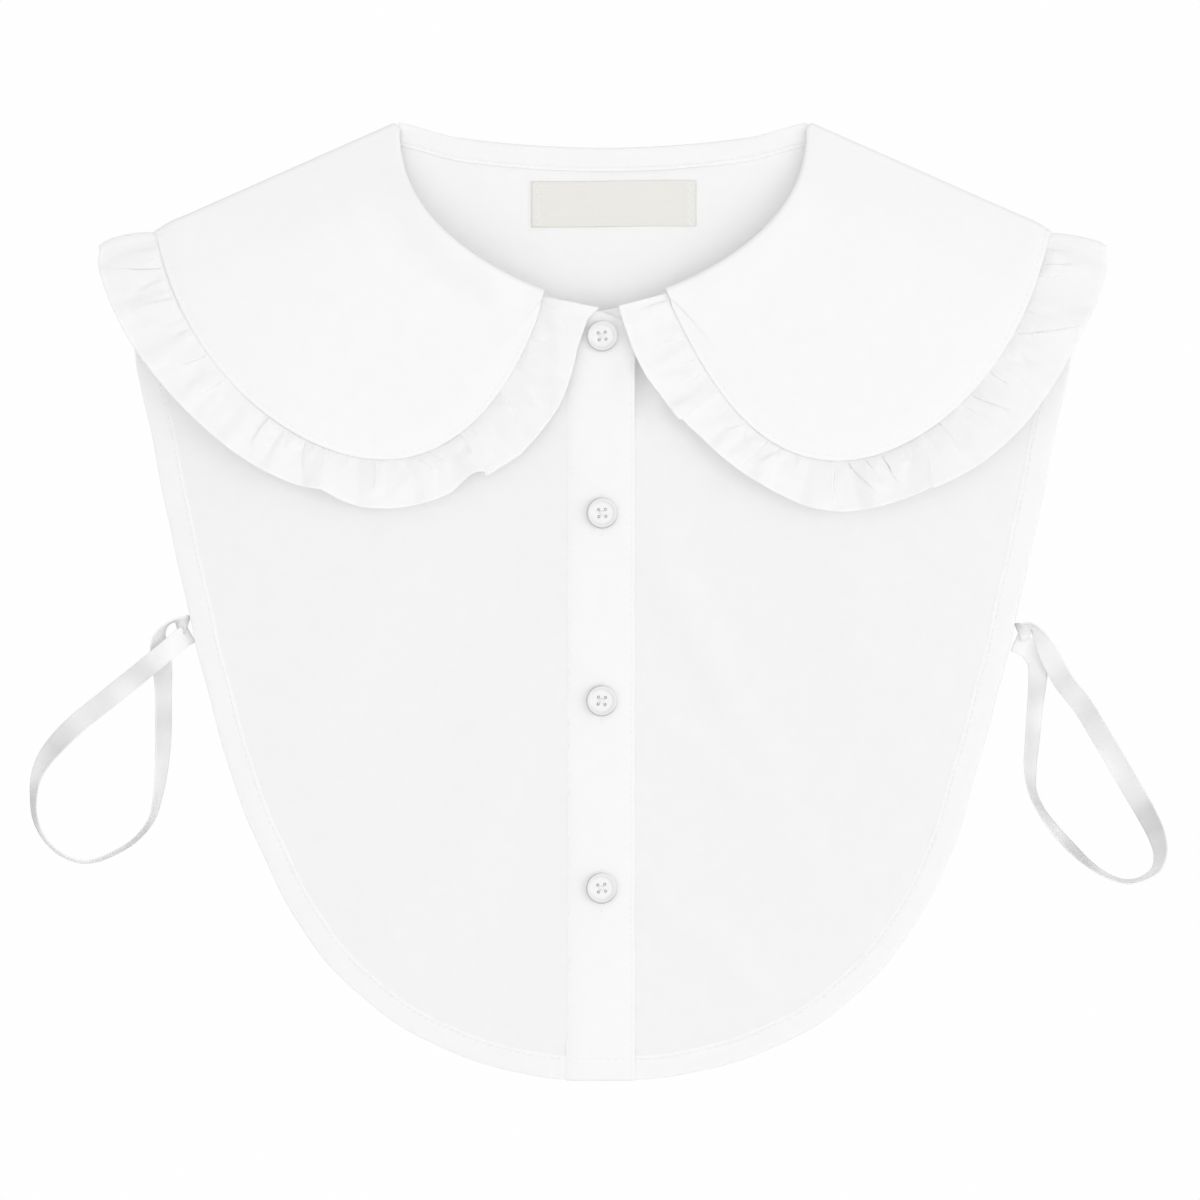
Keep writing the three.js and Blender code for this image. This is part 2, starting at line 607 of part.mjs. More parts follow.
function ruffleHalf(side) {
  const mirror = side === 'left' ? -1 : 1;
  const frontRows = 72;
  const backRows = 20;
  const edge = leafFrontEdge(side);
  const length = edge.getLength();
  const tipWidth = ruffleWidth(side, length);
  const smooth = { seam: 0, free: 0 };
  const onFront = onSurface(ruffleSeatZ, mirror);
  const turned = (curve, share, turn) => {
    return outwardNormal(curve, share).lerp(RUFFLE_FOLD_ALONG, turn).normalize();
  };
  const rows = [];
  for (let r = 0; r < frontRows; r++) {
    const along = r / frontRows * length;
    const share = 1 - r / frontRows;
    const out = turned(edge, share, smoothstep(along, length - RUFFLE_FOLD_REACH, length));
    out.lerp(RUFFLE_FRONT_ENDS[side], 1 - smoothstep(along, 0, RUFFLE_FRONT_REACH)).normalize();
    const folds = foldHeights(RUFFLE_FOLDS[side], along);
    rows.push(ruffleRow(edge.getPointAt(share), out, ruffleWidth(side, along), folds, onFront));
  }
  rows.push(ruffleRow(LEAF_TIP, RUFFLE_FOLD_ALONG, tipWidth, smooth, onFront));
  for (const angle of foldAngles(4)) {
    const place = inFold(RUFFLE_FOLD_RADIUS, RUFFLE_FOLD_OUT, angle);
    rows.push(ruffleRow(LEAF_TIP, RUFFLE_FOLD_ALONG, tipWidth, smooth, place));
  }
  const backLength = leafBackEdge.getLength();
  const backFolds = [];
  for (let along = BACK_FOLD.pitch / 2; along < backLength; along += BACK_FOLD.pitch) {
    backFolds.push({ along, high: BACK_FOLD.deep, wide: BACK_FOLD.wide, seam: BACK_FOLD.seam });
  }
  for (let r = 0; r <= backRows; r++) {
    const along = r / backRows * backLength;
    const turn = 1 - smoothstep(along, 0, RUFFLE_FOLD_REACH);
    const width = lerp(BACK_RUFFLE_WIDTH, tipWidth, turn);
    const folds = r === 0 ? smooth : foldHeights(backFolds, along);
    const base = leafBackEdge.getPointAt(r / backRows);
    const out = turned(leafBackEdge, r / backRows, turn);
    rows.push(ruffleRow(base, out, width, folds, onBack(RUFFLE_FOLD_RADIUS)));
  }
  return rows;
}

const ruffle = () => clothSolid(wholeCollar(ruffleHalf('left'), ruffleHalf('right')), CLOTH);

// The facing band follows the back neckline on the bib's inner side.
function neckFacing() {
  const rows = 16;
  const columns = 2;
  const grid = [];
  for (let r = 0; r <= rows; r++) {
    const x = lerp(-FACING.endX, FACING.endX, r / rows);
    const row = [];
    for (let c = 0; c <= columns; c++) {
      const y = backNeckY(x) - FACING.width * c / columns;
      row.push(new THREE.Vector3(x, y, backZ(x, y) + CLOTH / 2 + GAP + FACING.wall / 2));
    }
    grid.push(row);
  }
  return clothSolid(grid, FACING.wall);
}

function label() {
  const { width, height, wall, centreX, centreY } = LABEL;
  const z = backZ(centreX, centreY) + CLOTH / 2 + GAP + wall / 2;
  return new THREE.BoxGeometry(width, height, wall).translate(centreX, centreY, z);
}

// A turned button with a raised rim and four thread holes, standing on its flat back.
function button() {
  const { radius, rim, height, dish, edge } = BUTTON;
  const profile = [
    vec2(0, 0), vec2(radius - edge, 0), vec2(radius, edge), vec2(radius, height - edge),
    vec2(radius - edge, height), vec2(rim, height), vec2(rim - edge, height - dish), vec2(0, height - dish),
  ];
  const segments = 16;
  let solid = toManifold(new THREE.LatheGeometry(profile, segments).rotateX(Math.PI / 2));
  for (const [sideX, sideY] of [[-1, -1], [1, -1], [1, 1], [-1, 1]]) {
    const hole = new THREE.CylinderGeometry(
      THREAD_HOLE.radius, THREAD_HOLE.radius, 3 * height, THREAD_HOLE.sides);
    hole.rotateX(Math.PI / 2).translate(sideX * THREAD_HOLE.pitch / 2, sideY * THREAD_HOLE.pitch / 2, 0);
    solid = solid.subtract(toManifold(hole));
  }
  return fromManifold(solid);
}

// The flat section of a ribbon, as distances across its width and through its wall.
function ribbonSection() {
  const half = RIBBON.width / 2;
  const thin = RIBBON.wall / 2;
  const inner = half - RIBBON.chamfer;
  const edge = thin / 2;
  return [
    vec2(half, edge), vec2(inner, thin), vec2(-inner, thin), vec2(-half, edge),
    vec2(-half, -edge), vec2(-inner, -thin), vec2(inner, -thin), vec2(half, -edge),
  ];
}

// A ribbon swept along its route, turning on its edge where the route says.
function ribbon(side) {
  const route = RIBBON_ROUTES[side];
  const path = new THREE.CatmullRomCurve3(route.map(({ x, y }) => new THREE.Vector3(x, y, 0)));
  const section = ribbonSection();
  const positions = [];
  for (let step = 0; step <= RIBBON.steps; step++) {
    const t = step / RIBBON.steps;
    const at = t * (route.length - 1);
    const row = Math.min(Math.floor(at), route.length - 2);
    const [before, after] = [route[row], route[row + 1]];
    const roll = degToRad(lerp(before.roll, after.roll, at - row));
    const lift = lerp(before.lift, after.lift, at - row);
    const rise = Math.abs(Math.sin(roll)) * RIBBON.width / 2 + Math.cos(roll) * RIBBON.wall / 2;
    const middle = path.getPoint(t).setZ(lift + rise);
    const tangent = path.getTangent(t);
    const level = new THREE.Vector3(-tangent.y, tangent.x, 0).normalize();
    const across = level.clone().multiplyScalar(Math.cos(roll)).setZ(Math.sin(roll));
    const through = level.clone().multiplyScalar(-Math.sin(roll)).setZ(Math.cos(roll));
    for (const { x, y } of section) {
      const corner = middle.clone().addScaledVector(across, x).addScaledVector(through, y);
      positions.push(corner.x, corner.y, corner.z);
    }
  }
  const sides = section.length;
  const index = [];
  for (let step = 0; step < RIBBON.steps; step++) {
    for (let i = 0; i < sides; i++) {
      const a = step * sides + i;
      const b = step * sides + (i + 1) % sides;
      index.push(a, b, b + sides, a, b + sides, a + sides);
    }
  }
  const last = RIBBON.steps * sides;
  for (let i = 1; i < sides - 1; i++) {
    index.push(0, i + 1, i, last, last + i, last + i + 1);
  }
  return facingOut(positions, index);
}

const poplin = () => new THREE.MeshStandardMaterial({ color: 0xf5f5f6, roughness: 0.85 });
const satin = () => new THREE.MeshStandardMaterial({ color: 0xf0efec, roughness: 0.4 });
const labelWeave = () => new THREE.MeshStandardMaterial({ color: 0xefe9dc, roughness: 0.6 });
const buttonPlastic = () => new THREE.MeshStandardMaterial({ color: 0xf7f6f3, roughness: 0.3 });

const collar = new THREE.Group();

function addPiece(name, geometry, material) {
  const mesh = new THREE.Mesh(geometry, material);
  mesh.name = name;
  collar.add(mesh);
  return mesh;
}

addPiece('back_bib', backBib(), poplin());
addPiece('front_panel_left', frontPanel('left'), poplin());
addPiece('front_panel_right', frontPanel('right'), poplin());
addPiece('button_placket', placket(), poplin());
addPiece('collar_leaf', collarLeaf(), poplin());
addPiece('collar_ruffle', ruffle(), poplin());
addPiece('neck_facing', neckFacing(), poplin());
addPiece('neck_label', label(), labelWeave());
addPiece('ribbon_loop_left', ribbon('left'), satin());
addPiece('ribbon_loop_right', ribbon('right'), satin());

// Each button stands clear of the highest part of the placket under it.
const buttonShape = button();
BUTTON_YS.forEach((y, i) => {
  const under = Math.max(frontZ(BUTTON_X, y), frontZ(BUTTON_X, y + BUTTON.radius));
  const mesh = addPiece(`button_${i + 1}`, buttonShape, buttonPlastic());
  mesh.position.set(BUTTON_X, y, under + PLACKET_LIFT + PLACKET.wall / 2 + GAP);
});

export default collar;
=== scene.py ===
"""A detachable blouse collar in bleached cotton poplin, buttoned and lying face up on a white table.

Its cloth is cut and laid by one pattern, whose sizes and heights are those of the frame's solids.
Sizes in the classes are in millimetres unless they say otherwise, and meshes are made in metres.
X runs to the viewer's right, Y towards the back neck and Z up from the table.
"""
import logging
import math
from dataclasses import dataclass
from enum import Enum
from typing import Any, NamedTuple, Sequence

import bpy
import numpy as np
from mathutils import Matrix, Vector

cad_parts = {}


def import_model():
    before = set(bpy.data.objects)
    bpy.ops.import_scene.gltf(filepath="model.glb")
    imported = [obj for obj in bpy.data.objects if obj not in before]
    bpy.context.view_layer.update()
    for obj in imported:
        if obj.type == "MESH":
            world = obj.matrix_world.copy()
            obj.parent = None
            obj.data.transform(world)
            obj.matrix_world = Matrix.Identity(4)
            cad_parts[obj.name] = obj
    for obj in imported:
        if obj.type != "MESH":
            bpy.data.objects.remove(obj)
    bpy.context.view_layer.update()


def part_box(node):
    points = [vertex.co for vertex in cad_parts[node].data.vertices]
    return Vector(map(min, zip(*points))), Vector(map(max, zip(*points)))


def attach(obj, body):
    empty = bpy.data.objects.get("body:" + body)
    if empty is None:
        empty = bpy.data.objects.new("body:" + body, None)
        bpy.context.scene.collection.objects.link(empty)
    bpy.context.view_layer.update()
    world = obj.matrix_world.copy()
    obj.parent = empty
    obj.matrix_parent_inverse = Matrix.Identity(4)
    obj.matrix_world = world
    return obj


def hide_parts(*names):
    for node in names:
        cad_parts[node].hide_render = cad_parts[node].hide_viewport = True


log = logging.getLogger("collar")

MM = 0.001
BODY = "root"
CLOTH_MAP = "cloth"
PLY = "ply"
# The attribute that holds the painted shade round a button's edge
PAINTED_EDGE_SHADE = "painted_edge_shade"
WHITE = (1.0, 1.0, 1.0, 1.0)
UP = np.array([0.0, 0.0, 1.0])
# The margin given to a grid's inner columns, which is clear of every hem and seam
WELL_INSIDE = 20.0
Point = tuple[float, float]
Place = tuple[float, float, float]
Array = np.ndarray
Object = bpy.types.Object
Material = bpy.types.Material
Tree = bpy.types.NodeTree


class Side(Enum):
    """The two halves of the garment, as the camera sees them."""

    LEFT = -1
    RIGHT = 1


def smooth_step(value: Any, low: float, high: float) -> Any:
    """Rises smoothly from 0 at low to 1 at high."""
    share = np.clip((np.asarray(value, float) - low) / (high - low), 0.0, 1.0)
    return share * share * (3.0 - 2.0 * share)


def between(low: Any, high: Any, share: Any) -> Any:
    """The value at a share of the way from low to high."""
    return low + (high - low) * share


def bell(value: Any, middle: float, width: float) -> Any:
    """A bell curve: 1 at its middle, and 1/e one width away."""
    return np.exp(-(((value - middle) / width) ** 2))


def unit(vectors: Array) -> Array:
    """The same directions with length one."""
    return vectors / np.maximum(np.linalg.norm(vectors, axis=-1, keepdims=True), 1e-9)


def reach_along(points: Array, power: float = 1.0) -> Array:
    """How far along a line each of its points lies, with the steps raised to a power."""
    steps = np.linalg.norm(np.diff(points, axis=0), axis=1)
    return np.concatenate([[0.0], np.cumsum(steps**power)])


def column_at(margins: Sequence[float], margin: float) -> float:
    """The fractional column that lies at a margin from the edge."""
    return float(np.interp(margin, margins, np.arange(len(margins))))


def padded(margins: tuple[float, ...], columns: int) -> Array:
    """The margin of each column of a grid, of which all past the listed ones lie well inside."""
    return np.array(margins + (WELL_INSIDE,) * (columns - len(margins)))


class Ripple(NamedTuple):
    """Low waves: their height, the lengths of the sines that make them up, and their seed."""

    high: float
    lengths: tuple[float, ...]
    seed: int

    def at(self, along: Array) -> Array:
        """The waves at distances in millimetres, where each sine has its own seeded start."""
        starts = np.random.default_rng(self.seed).uniform(0.0, 2.0 * math.pi, len(self.lengths))
        pairs = zip(self.lengths, starts)
        sines = (np.sin(2.0 * math.pi * along / length + start) for length, start in pairs)
        return self.high * (sum(sines) / math.sqrt(len(self.lengths)))


# Finishes

# The sockets of a mix node that are for colours
FACTOR, FIRST, SECOND, MIXED = 0, 6, 7, 2


def linear(hex_colour: str) -> tuple[float, float, float, float]:
    """The linear colour of an sRGB hex value such as #F2F2F2."""
    parts = [int(hex_colour[i : i + 2], 16) / 255.0 for i in (1, 3, 5)]
    red, green, blue = (p / 12.92 if p <= 0.04045 else ((p + 0.055) / 1.055) ** 2.4 for p in parts)
    return red, green, blue, 1.0


def add_node(
    tree: Tree, kind: str, settings: dict[str, Any], inputs: dict[Any, Any]
) -> bpy.types.NodeOutputs:
    """Adds a node to a tree.

    Args:
        tree: The material's or world's tree.
        kind: The node's type name.
        settings: Values of the node's own properties.
        inputs: What each input socket holds, or the output socket that it is linked to.

    Returns:
        The new node's output sockets.
    """
    node = tree.nodes.new(kind)
    for name, value in settings.items():
        setattr(node, name, value)
    for key, value in inputs.items():
        if isinstance(value, bpy.types.NodeSocket):
            tree.links.new(value, node.inputs[key])
        else:
            node.inputs[key].default_value = value
    return node.outputs


def new_material(name: str) -> tuple[Material, Tree]:
    """An empty material with its node tree."""
    material = bpy.data.materials.new(name)
    material.use_nodes = True
    material.node_tree.nodes.clear()
    return material, material.node_tree


def finish_material(tree: Tree, shader: dict[str, Any]) -> None:
    """Ends a tree with a Principled shader that has the given inputs."""
    principled = add_node(tree, "ShaderNodeBsdfPrincipled", {}, shader)
    add_node(tree, "ShaderNodeOutputMaterial", {}, {"Surface": principled[0]})


def lit_through(scatter: float) -> dict[str, Any]:
    """Shader inputs of cloth in which light goes so many millimetres before it scatters."""
    weight = 1.0 if scatter else 0.0
    return {"Subsurface Weight": weight, "Subsurface Radius": (1.0,) * 3, "Subsurface Scale": scatter * MM}


@dataclass(frozen=True)
class Finish:
    """A material with one Principled shader."""

    name: str

    def shader(self, tree: Tree) -> dict[str, Any]:
        """Adds the nodes that the finish needs, and gives its shader's inputs."""
        raise NotImplementedError

    def material(self) -> Material:
        """Builds the material."""
        material, tree = new_material(self.name)
        finish_material(tree, self.shader(tree))
        return material


@dataclass(frozen=True)
class Poplin(Finish):
    """Bleached cotton poplin: a close plain weave, ironed flat, matt with a faint sheen of fibres.

    One layer lets some light through and looks a little greyer than a hem or a lined piece.
    """

    name: str = "bleached_cotton_poplin"
    single: str = "#F2F2F2"
    double: str = "#FEFEFE"
    roughness: float = 0.85
    sheen: float = 0.08
    # Real poplin has a thread each 0.25 mm. It is drawn at 0.55 mm so that it shows at all.
    thread_pitch: float = 0.55
    weave_depth: float = 0.002
    # How far light goes in the threads of one layer, or 0 where a lining stops it
    scatter: float = 0.3
    slub_length: float = 9.0
    slub_weight: float = 1.4
    mottle_size: float = 7.0
    mottle_limits: Point = (0.3, 0.7)
    mottle_shade: float = 0.988

    def shader(self, tree: Tree) -> dict[str, Any]:
        """Adds a weave that follows the cloth's own map, with slubs and a faint mottle."""
        cloth = add_node(tree, "ShaderNodeUVMap", {"uv_map": CLOTH_MAP}, {})[0]
        turn = math.pi / (self.thread_pitch * MM)
        scaled = add_node(tree, "ShaderNodeVectorMath", {"operation": "SCALE"}, {0: cloth, "Scale": turn})
        axes = add_node(tree, "ShaderNodeSeparateXYZ", {}, {0: scaled[0]})
        warp, weft = (add_node(tree, "ShaderNodeMath", {"operation": "SINE"}, {0: axes[k]}) for k in (0, 1))
        weave = add_node(tree, "ShaderNodeMath", {"operation": "MULTIPLY"}, {0: warp[0], 1: weft[0]})
        stretch = (1.0 / (self.slub_length * MM), 1.0 / (self.thread_pitch * MM), 1.0)
        slub_place = add_node(tree, "ShaderNodeMapping", {}, {"Vector": cloth, "Scale": stretch})
        slubs = add_node(
            tree, "ShaderNodeTexNoise", {"noise_dimensions": "2D"},
            {"Vector": slub_place[0], "Scale": 1.0, "Detail": 2.0, "Roughness": 0.6},
        )
        height = add_node(
            tree, "ShaderNodeMath", {"operation": "MULTIPLY_ADD"},
            {0: slubs[0], 1: self.slub_weight, 2: weave[0]},
        )
        bump = add_node(
            tree, "ShaderNodeBump", {},
            {"Strength": 1.0, "Distance": self.weave_depth * MM, "Height": height[0]},
        )
        place = add_node(tree, "ShaderNodeTexCoord", {}, {})["Object"]
        mottle = add_node(
            tree, "ShaderNodeTexNoise", {},
            {"Vector": place, "Scale": 1.0 / (self.mottle_size * MM), "Detail": 3.0, "Roughness": 0.55},
        )
        low, high = self.mottle_limits
        shade = add_node(
            tree, "ShaderNodeMapRange", {},
            {"Value": mottle[0], "From Min": low, "From Max": high, "To Min": self.mottle_shade},
        )
        plies = add_node(tree, "ShaderNodeAttribute", {"attribute_name": PLY}, {})["Fac"]
        colour = add_node(
            tree, "ShaderNodeMix", {"data_type": "RGBA"},
            {FACTOR: plies, FIRST: linear(self.single), SECOND: linear(self.double)},
        )
        shaded = add_node(
            tree, "ShaderNodeVectorMath", {"operation": "SCALE"}, {0: colour[MIXED], "Scale": shade[0]}
        )
        return {
            "Base Color": shaded[0], "Roughness": self.roughness, "Normal": bump[0], "IOR": 1.5,
            "Specular IOR Level": 0.25, "Sheen Weight": self.sheen, "Sheen Roughness": 0.5,
            **lit_through(self.scatter),
        }


@dataclass(frozen=True)
class Satin(Finish):
    """Polyester satin ribbon of long floats, with soft painted sheen and painted shade drawn out along it."""

    name: str = "polyester_satin_ribbon"
    # The colours of the painted sheen and of the painted shade
    colour: str = "#F6F6F6"
    shade: str = "#D8D8D8"
    roughness: float = 0.42
    painted_light_length: float = 26.0
    painted_light_width: float = 60.0
    painted_light_limits: Point = (0.36, 0.64)
    # Light passes through the thin ribbon, so it stays pale where it stands on its edge.
    scatter: float = 0.3

    def shader(self, tree: Tree) -> dict[str, Any]:
        """Adds the painted sheen and shade in soft stretches that are drawn out along the ribbon."""
        cloth = add_node(tree, "ShaderNodeUVMap", {"uv_map": CLOTH_MAP}, {})[0]
        stretch = (1.0 / (self.painted_light_length * MM), 1.0 / (self.painted_light_width * MM), 1.0)
        place = add_node(tree, "ShaderNodeMapping", {}, {"Vector": cloth, "Scale": stretch})
        # Painted sheen and shade, in soft stretches along the ribbon
        painted_light = add_node(
            tree, "ShaderNodeTexNoise", {"noise_dimensions": "2D"},
            {"Vector": place[0], "Scale": 1.0, "Detail": 1.0},
        )
        low, high = self.painted_light_limits
        share = add_node(
            tree, "ShaderNodeMapRange", {}, {"Value": painted_light[0], "From Min": low, "From Max": high}
        )
        colour = add_node(
            tree, "ShaderNodeMix", {"data_type": "RGBA"},
            {FACTOR: share[0], FIRST: linear(self.colour), SECOND: linear(self.shade)},
        )
        return {
            "Base Color": colour[MIXED], "Roughness": self.roughness, "IOR": 1.5,
            "Specular IOR Level": 0.3, "Sheen Weight": 0.1, "Sheen Roughness": 0.4,
            **lit_through(self.scatter),
        }


@dataclass(frozen=True)
class WovenLabel(Finish):
    """Damask label tape: fine cream weft threads in close ribs, with a low shine."""

    name: str = "cream_damask_label"
    colour: str = "#EDECE8"
    thread: str = "#E5E3DD"
    thread_share: float = 0.7
    roughness: float = 0.55
    rib_pitch: float = 0.6
    rib_depth: float = 0.03
    warp_weight: float = 0.4

    def shader(self, tree: Tree) -> dict[str, Any]:
        """Adds ribs that run along the label."""
        cloth = add_node(tree, "ShaderNodeUVMap", {"uv_map": CLOTH_MAP}, {})[0]
        axes = add_node(tree, "ShaderNodeSeparateXYZ", {}, {0: cloth})
        turn = 2.0 * math.pi / (self.rib_pitch * MM)
        phases = [
            add_node(tree, "ShaderNodeMath", {"operation": "MULTIPLY"}, {0: axes[k], 1: turn}) for k in (0, 1)
        ]
        across, down = (add_node(tree, "ShaderNodeMath", {"operation": "SINE"}, {0: p[0]}) for p in phases)
        ribs = add_node(
            tree, "ShaderNodeMath", {"operation": "MULTIPLY_ADD"},
            {0: across[0], 1: self.warp_weight, 2: down[0]},
        )[0]
        most = 1.0 + self.warp_weight
        share = add_node(
            tree, "ShaderNodeMapRange", {},
            {"Value": ribs, "From Min": -most, "From Max": most, "To Min": self.thread_share, "To Max": 0.0},
        )
        colour = add_node(
            tree, "ShaderNodeMix", {"data_type": "RGBA"},
            {FACTOR: share[0], FIRST: linear(self.colour), SECOND: linear(self.thread)},
        )
        bump = add_node(
            tree, "ShaderNodeBump", {}, {"Strength": 1.0, "Distance": self.rib_depth * MM, "Height": ribs}
        )
        return {
            "Base Color": colour[MIXED], "Roughness": self.roughness, "Normal": bump[0], "IOR": 1.5,
            "Specular IOR Level": 0.4, "Sheen Weight": 0.1, "Sheen Roughness": 0.4,
        }


@dataclass(frozen=True)
class ButtonResin(Finish):
    """Cast polyester button, turned and tumbled: glossy and faintly cloudy, with painted shade round its
    edge.
    """

    name: str = "cast_polyester_button"
    colour: str = "#F2F2F2"
    cloud: str = "#E9E9E9"
    # Painted shade: the dark colour of a thin ring round the button's outline, which stands for its shadow
    edge: str = "#A2A2A2"
    roughness: float = 0.24
    cloud_roughness: float = 0.12
    cloud_size: float = 3.5

    def shader(self, tree: Tree) -> dict[str, Any]:
        """Adds the clouds, and a thin ring of painted shade round the edge, thickest where the shadow falls.
        """
        place = add_node(tree, "ShaderNodeTexCoord", {}, {})["Object"]
        clouds = add_node(
            tree, "ShaderNodeTexNoise", {},
            {"Vector": place, "Scale": 1.0 / (self.cloud_size * MM), "Detail": 2.0, "Distortion": 1.2},
        )[0]
        cloudy = add_node(
            tree, "ShaderNodeMix", {"data_type": "RGBA"},
            {FACTOR: clouds, FIRST: linear(self.colour), SECOND: linear(self.cloud)},
        )
        # The share of painted shade, which is 1 in the ring round the button's outline
        turned = add_node(tree, "ShaderNodeAttribute", {"attribute_name": PAINTED_EDGE_SHADE}, {})["Fac"]
        colour = add_node(
            tree, "ShaderNodeMix", {"data_type": "RGBA"},
            {FACTOR: turned, FIRST: cloudy[MIXED], SECOND: linear(self.edge)},
        )
        gloss = add_node(
            tree, "ShaderNodeMapRange", {},
            {"Value": clouds, "To Min": self.roughness, "To Max": self.roughness + self.cloud_roughness},
        )
        return {
            "Base Color": colour[MIXED], "Roughness": gloss[0], "IOR": 1.55, "Specular IOR Level": 0.5,
            "Coat Weight": 0.25, "Coat Roughness": 0.1,
        }


@dataclass(frozen=True)
class SewingThread(Finish):
    """Spun polyester sewing thread: two plies twisted together, with a low sheen."""

    name: str = "spun_polyester_thread"
    colour: str = "#FAFAFA"
    # Painted shade in the grooves between the twisted plies
    groove: str = "#F0F0F0"
    roughness: float = 0.6
    twist_pitch: float = 0.45

    def shader(self, tree: Tree) -> dict[str, Any]:
        """Adds slantwise bands round each stitch, with painted shade in the grooves between its plies."""
        place = add_node(tree, "ShaderNodeTexCoord", {}, {})["Object"]
        twist_shade = add_node(
            tree, "ShaderNodeTexWave", {"wave_type": "BANDS", "bands_direction": "DIAGONAL"},
            {"Vector": place, "Scale": math.pi / (10.0 * self.twist_pitch * MM)},
        )["Fac"]
        colour = add_node(
            tree, "ShaderNodeMix", {"data_type": "RGBA"},
            {FACTOR: twist_shade, FIRST: linear(self.groove), SECOND: linear(self.colour)},
        )
        return {
            "Base Color": colour[MIXED], "Roughness": self.roughness, "IOR": 1.5,
            "Specular IOR Level": 0.3, "Sheen Weight": 0.1, "Sheen Roughness": 0.4,
        }


class Finishes:
    """The garment's materials, each built once."""

    def __init__(self) -> None:
        """Builds them all."""
        self.poplin = Poplin().material()
        self.lined = Poplin(name="lined_cotton_poplin", double="#F5F5F5", scatter=0.0).material()
        self.satin = Satin().material()
        self.label = WovenLabel().material()
        self.resin = ButtonResin().material()
        self.thread = SewingThread().material()


# Outlines and the garment's pattern


class Outline:
    """A flat curve of Bezier pieces that meet, followed by the share of its length."""

    samples = 200
    look = 0.6

    def __init__(self, *pieces: Sequence[Point]) -> None:
        """Samples the pieces, each of which is given by its control points."""
        parts = [self._bezier(piece) for piece in pieces]
        self.points = np.vstack([parts[0], *(part[1:] for part in parts[1:])])
        self.reach = reach_along(self.points)
        self.length = float(self.reach[-1])

    def _bezier(self, controls: Sequence[Point]) -> Array:
        """Points of one Bezier piece of any order."""
        share = np.linspace(0.0, 1.0, self.samples)[:, None]
        level = [np.asarray(control, float) + 0.0 * share for control in controls]
        while len(level) > 1:
            level = [between(start, end, share) for start, end in zip(level, level[1:])]
        return level[0]

    def at(self, share: Any) -> Array:
        """Points at shares of the length."""
        distance = np.clip(share, 0.0, 1.0) * self.length
        return np.stack([np.interp(distance, self.reach, self.points[:, k]) for k in (0, 1)], axis=-1)

    def outward(self, share: Any) -> Array:
        """Unit normals on the left of the direction, which is outwards on all the outlines here."""
        step = self.look / self.length
        run = unit(self.at(np.add(share, step)) - self.at(np.subtract(share, step)))
        return np.stack([-run[..., 1], run[..., 0]], axis=-1)

    def share_at_x(self, x: float) -> float:
        """The share of the length at which the falling x reaches the given one."""
        return float(np.interp(-x, -self.points[:, 0], self.reach) / self.length)


class Crease(NamedTuple):
    """A long soft ridge in laid cloth, or a dent where its height is negative."""

    x: float
    y: float
    angle: float
    length: float
    width: float
    height: float


